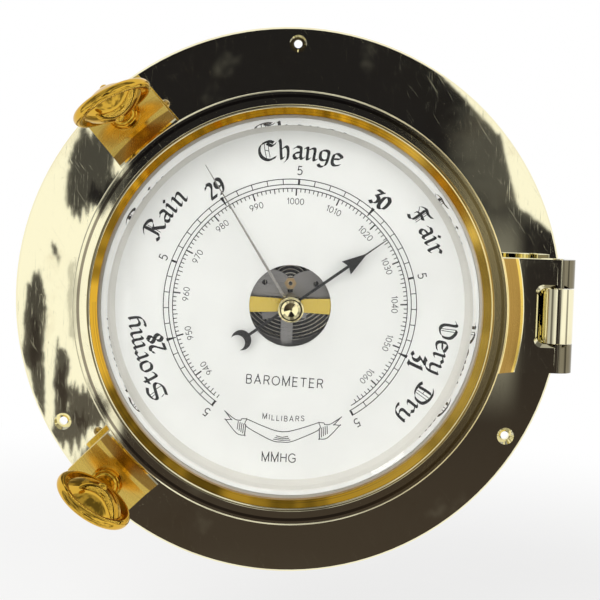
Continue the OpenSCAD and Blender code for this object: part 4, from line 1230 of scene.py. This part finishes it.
@dataclass
class Clamp(Assembly):
    """One thumb screw in its lug: threaded end, foot, neck, domed disc and a ball on each face.

    Its axis stands on the lug's front, leaning outwards; the disc's own axis crosses it square. Sizes are in
    millimetres along the axis or out from it, angles in degrees, and the rim's arc to either side in half turns.
    """

    node: str
    body: Body
    side: float
    turn: float
    reach: float = 98.8
    lug_top: float = 35.0
    lean: float = 10.0
    tip: float = -9.81
    tip_bevel: float = 0.4
    root_r: float = 2.38
    shank_r: float = 3.0
    shank_end: float = -6.7
    foot: float = 1.2
    foot_top: float = 3.2
    foot_r: float = 5.6
    foot_bevel: float = 0.2
    flare_in: float = 0.6
    flare_h: float = 1.6
    neck_r: float = 3.8
    middle: float = 20.55
    disc_r: float = 15.75
    rim_r: float = 2.0
    rim_turn: float = 0.62
    web: float = 1.25
    dome: float = 6.6
    ball_r: float = 1.9
    ball_sunk: float = 0.7

    def place(self) -> np.ndarray:
        """The screw's frame, worked out with the height last and then stood up, so that a height runs along -Y.

        The screw turns about its own axis, leans outwards and is then carried round the dial to its side.

        Returns:
            Two directions across the axis, the axis itself, and the point on the lug's front, as columns.
        """
        a, b, c = math.radians(self.side), math.radians(self.lean), math.radians(self.turn)
        about = np.array([[math.cos(a), -math.sin(a), 0], [math.sin(a), math.cos(a), 0], [0, 0, 1]])
        leaning = np.array([[math.cos(b), 0, math.sin(b)], [0, 1, 0], [-math.sin(b), 0, math.cos(b)]])
        turned = np.array([[math.cos(c), -math.sin(c), 0], [math.sin(c), math.cos(c), 0], [0, 0, 1]])
        stand = np.array([[1, 0, 0], [0, 0, -1], [0, 1, 0]])
        origin = about @ np.array([self.reach, 0, self.lug_top])
        return stand @ np.column_stack([about @ leaning @ turned, origin])

    def disc_place(self, screw: np.ndarray) -> np.ndarray:
        """The disc's frame: its axis is the screw's first direction and its middle stands on the screw's axis."""
        middle = screw @ np.array([0, 0, self.middle, 1])
        return np.column_stack([-screw[:, 2], screw[:, 1], screw[:, 0], middle])

    def stem(self) -> np.ndarray:
        """Profile of the screw; a quarter of an ellipse carries its foot over into its neck.

        Returns:
            Corners (n, 2) from the tip to where the neck ends in the disc.
        """
        a = np.linspace(0, math.pi / 2, 9)
        wide = self.foot_r - self.flare_in
        flare = np.stack([wide - (wide - self.neck_r) * np.sin(a),
                          self.foot_top + self.flare_h * (1 - np.cos(a))], axis=1)
        low = [(0, self.tip), (self.root_r - self.tip_bevel, self.tip), (self.root_r, self.tip + self.tip_bevel),
               (self.root_r, self.shank_end), (self.shank_r, self.shank_end), (self.shank_r, self.foot),
               (self.foot_r - self.foot_bevel, self.foot), (self.foot_r, self.foot + self.foot_bevel),
               (self.foot_r, self.foot_top - self.foot_bevel), (self.foot_r - self.foot_bevel, self.foot_top)]
        top = self.middle - self.disc_r + self.rim_r
        return np.concatenate([np.array(low, float), flare, [(self.neck_r, top), (0, top)]])

    def half_section(self) -> np.ndarray:
        """Profile of the disc: a dome, a groove, the round rim and the other dome.

        A dome falls from the middle to the groove as the square of the radius, eased into the web there.

        Returns:
            Corners (n, 2) from the middle of one face to the middle of the other.
        """
        groove = self.disc_r - 2 * self.rim_r
        share = np.linspace(0, 1, 25)
        rise = (self.dome - self.web) * (1 - share**2)
        low = np.stack([groove * share, -self.web - rise], axis=1)
        end = math.pi * self.rim_turn
        a = np.linspace(-end, end, 31)
        rim = np.stack([self.disc_r - self.rim_r + self.rim_r * np.cos(a), self.rim_r * np.sin(a)], axis=1)
        return np.concatenate([low, rim, low[::-1] * (1, -1)])

    def ball(self, side: float) -> np.ndarray:
        """Profile of the ball that stands in the middle of one face: a half circle, closed on the axis.

        Args:
            side: -1 for the near face and 1 for the far one.

        Returns:
            Corners (n, 2) along the disc's axis.
        """
        a = np.linspace(-math.pi / 2, math.pi / 2, 17)
        level = side * (self.dome - self.ball_sunk)
        profile = np.stack([self.ball_r * np.cos(a), self.ball_r * np.sin(a) + level], axis=1)
        profile[[0, -1], 0] = 0.0
        return profile

    def build(self) -> None:
        """Dresses the washer and makes the screw with smooth turned surfaces."""
        self.dress()
        screw = self.place()
        disc = self.disc_place(screw)
        parts = [lathe(self.stem(), screw, STEM_SIDES), lathe(self.half_section(), disc, WIDE_SIDES)]
        parts += [lathe(self.ball(side), disc, BALL_SIDES) for side in (-1.0, 1.0)]
        piece = add_piece(self.node + "_smooth", *joined(parts), THUMB_BRASS, self.body, smooth=True)
        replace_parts(piece, self.node)


@dataclass
class Capsule(Assembly):
    """The pressure capsule with the stud it stands on and the post that carries the leaf spring.

    Its heights are those of the stud's foot, the lower face, the crests of the upper one, and the ends of the post
    and of the thinner pin on it, in millimetres from the wall.
    """

    middle: tuple[float, float] = (0.0, 8.5)
    heights: tuple[float, float, float, float, float] = (6.6, 8.0, 13.6, 16.2, 18.6)
    radius: float = 23.5
    rim_w: float = 1.5
    rim_t: float = 0.8
    flat_r: float = 4.0
    dish: float = 0.5
    pitch: float = 1.5
    swell: float = 0.5
    ridge_steps: int = 16
    post_r: float = 2.0
    pin_r: float = 0.9

    def section(self) -> np.ndarray:
        """Profile of the capsule.

        The upper face lies half the swell below its crests and rises and falls with the cosine of the radius, one
        crest to a pitch.

        Returns:
            Corners (n, 2) from the stud's foot round the rim and in over the ridges to the top of the post.
        """
        foot, low, high, post, tip = self.heights
        seam, inner = (low + high) / 2, self.radius - self.rim_w
        under, over = seam - self.rim_t / 2, seam + self.rim_t / 2
        steps = self.ridge_steps * round((inner - self.flat_r) / self.pitch)
        r = np.linspace(inner, self.flat_r, steps + 1)
        wave = high - self.swell / 2 * (1 - np.cos(2 * math.pi * (r - self.flat_r) / self.pitch))
        base = [(0, foot), (self.flat_r, foot), (self.flat_r, low), (inner, low + self.dish), (inner, under),
                (self.radius, under), (self.radius, over), (inner, over)]
        top = [(self.post_r, high), (self.post_r, post), (self.pin_r, post), (self.pin_r, tip), (0, tip)]
        return np.concatenate([np.array(base, float), np.stack([r, wave], axis=1), np.array(top, float)])

    def build(self) -> None:
        """Dresses the nut and turns the capsule with rounded ridges."""
        self.dress()
        x, z = self.middle
        place = np.array([[1, 0, 0, x], [0, 0, -1, 0], [0, 1, 0, z]], float)
        surface = lathe(self.section(), place, WIDE_SIDES)
        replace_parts(add_piece("capsule_smooth", *surface, CAPSULE, Body.CASE, smooth=True), "capsule")


def assemblies() -> list[Assembly]:
    """Every sub-assembly.

    Returns:
        The sub-assemblies, from the wall outwards.
    """
    case = {"base_casting": POLISHED, "case_seal": RUBBER, "back_cover": SHEET, "back_cover_screws": STEEL}
    ring = {"bezel_ring": RING_BRASS, "glass": CLEAR, "glass_gasket": CHANNEL_RUBBER, "glass_retainer": SHEET}
    steel = ("movement_plate movement_screws main_spring spring_screws arbor_cock cock_screw bridge_screws "
             "hairspring quadrant_arbor quadrant_cock_screw rocking_shaft quadrant pointer_arbor")
    brass = "spring_pillars arbor_bridge bridge_pillars quadrant_cock rocking_brackets adjusting_screw"
    movement = dict.fromkeys(steel.split(), STEEL) | dict.fromkeys(brass.split(), MOVEMENT)
    dial = {"dial_plate": DIAL_WHITE, "dial_surround": SURROUND_WHITE}
    dial |= dict.fromkeys(("dial_pillars", "dial_screws"), MOVEMENT)
    set_hand = dict.fromkeys(("set_knob", "set_shaft", "set_bush"), KNOB_BRASS)
    set_hand |= {"set_bush_nut": SHEET, "set_pointer": SET_STEEL}
    return [
        Assembly(case),
        Assembly({"hinge_pin": POLISHED}),
        Assembly(ring),
        Clamp({"clamp_washer_upper": THUMB_BRASS}, "clamp_screw_upper", Body.UPPER_CLAMP, 132.6, -11.5),
        Clamp({"clamp_washer_lower": THUMB_BRASS}, "clamp_screw_lower", Body.LOWER_CLAMP, 225.6, 11.5),
        Assembly(movement),
        Capsule({"capsule_nut": NUT_BRASS}),
        Assembly(dial),
        Assembly({"pressure_pointer": POINTER_BLACK}),
        Assembly(set_hand),
    ]


def main() -> None:
    """Builds the stage, every sub-assembly and the dial's printing."""
    logging.basicConfig(level=logging.INFO, format="%(name)s: %(message)s")
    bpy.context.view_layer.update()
    Studio().build()
    for assembly in assemblies():
        assembly.build()
    DialPrinting().build()


if __name__ == "__main__":
    main()
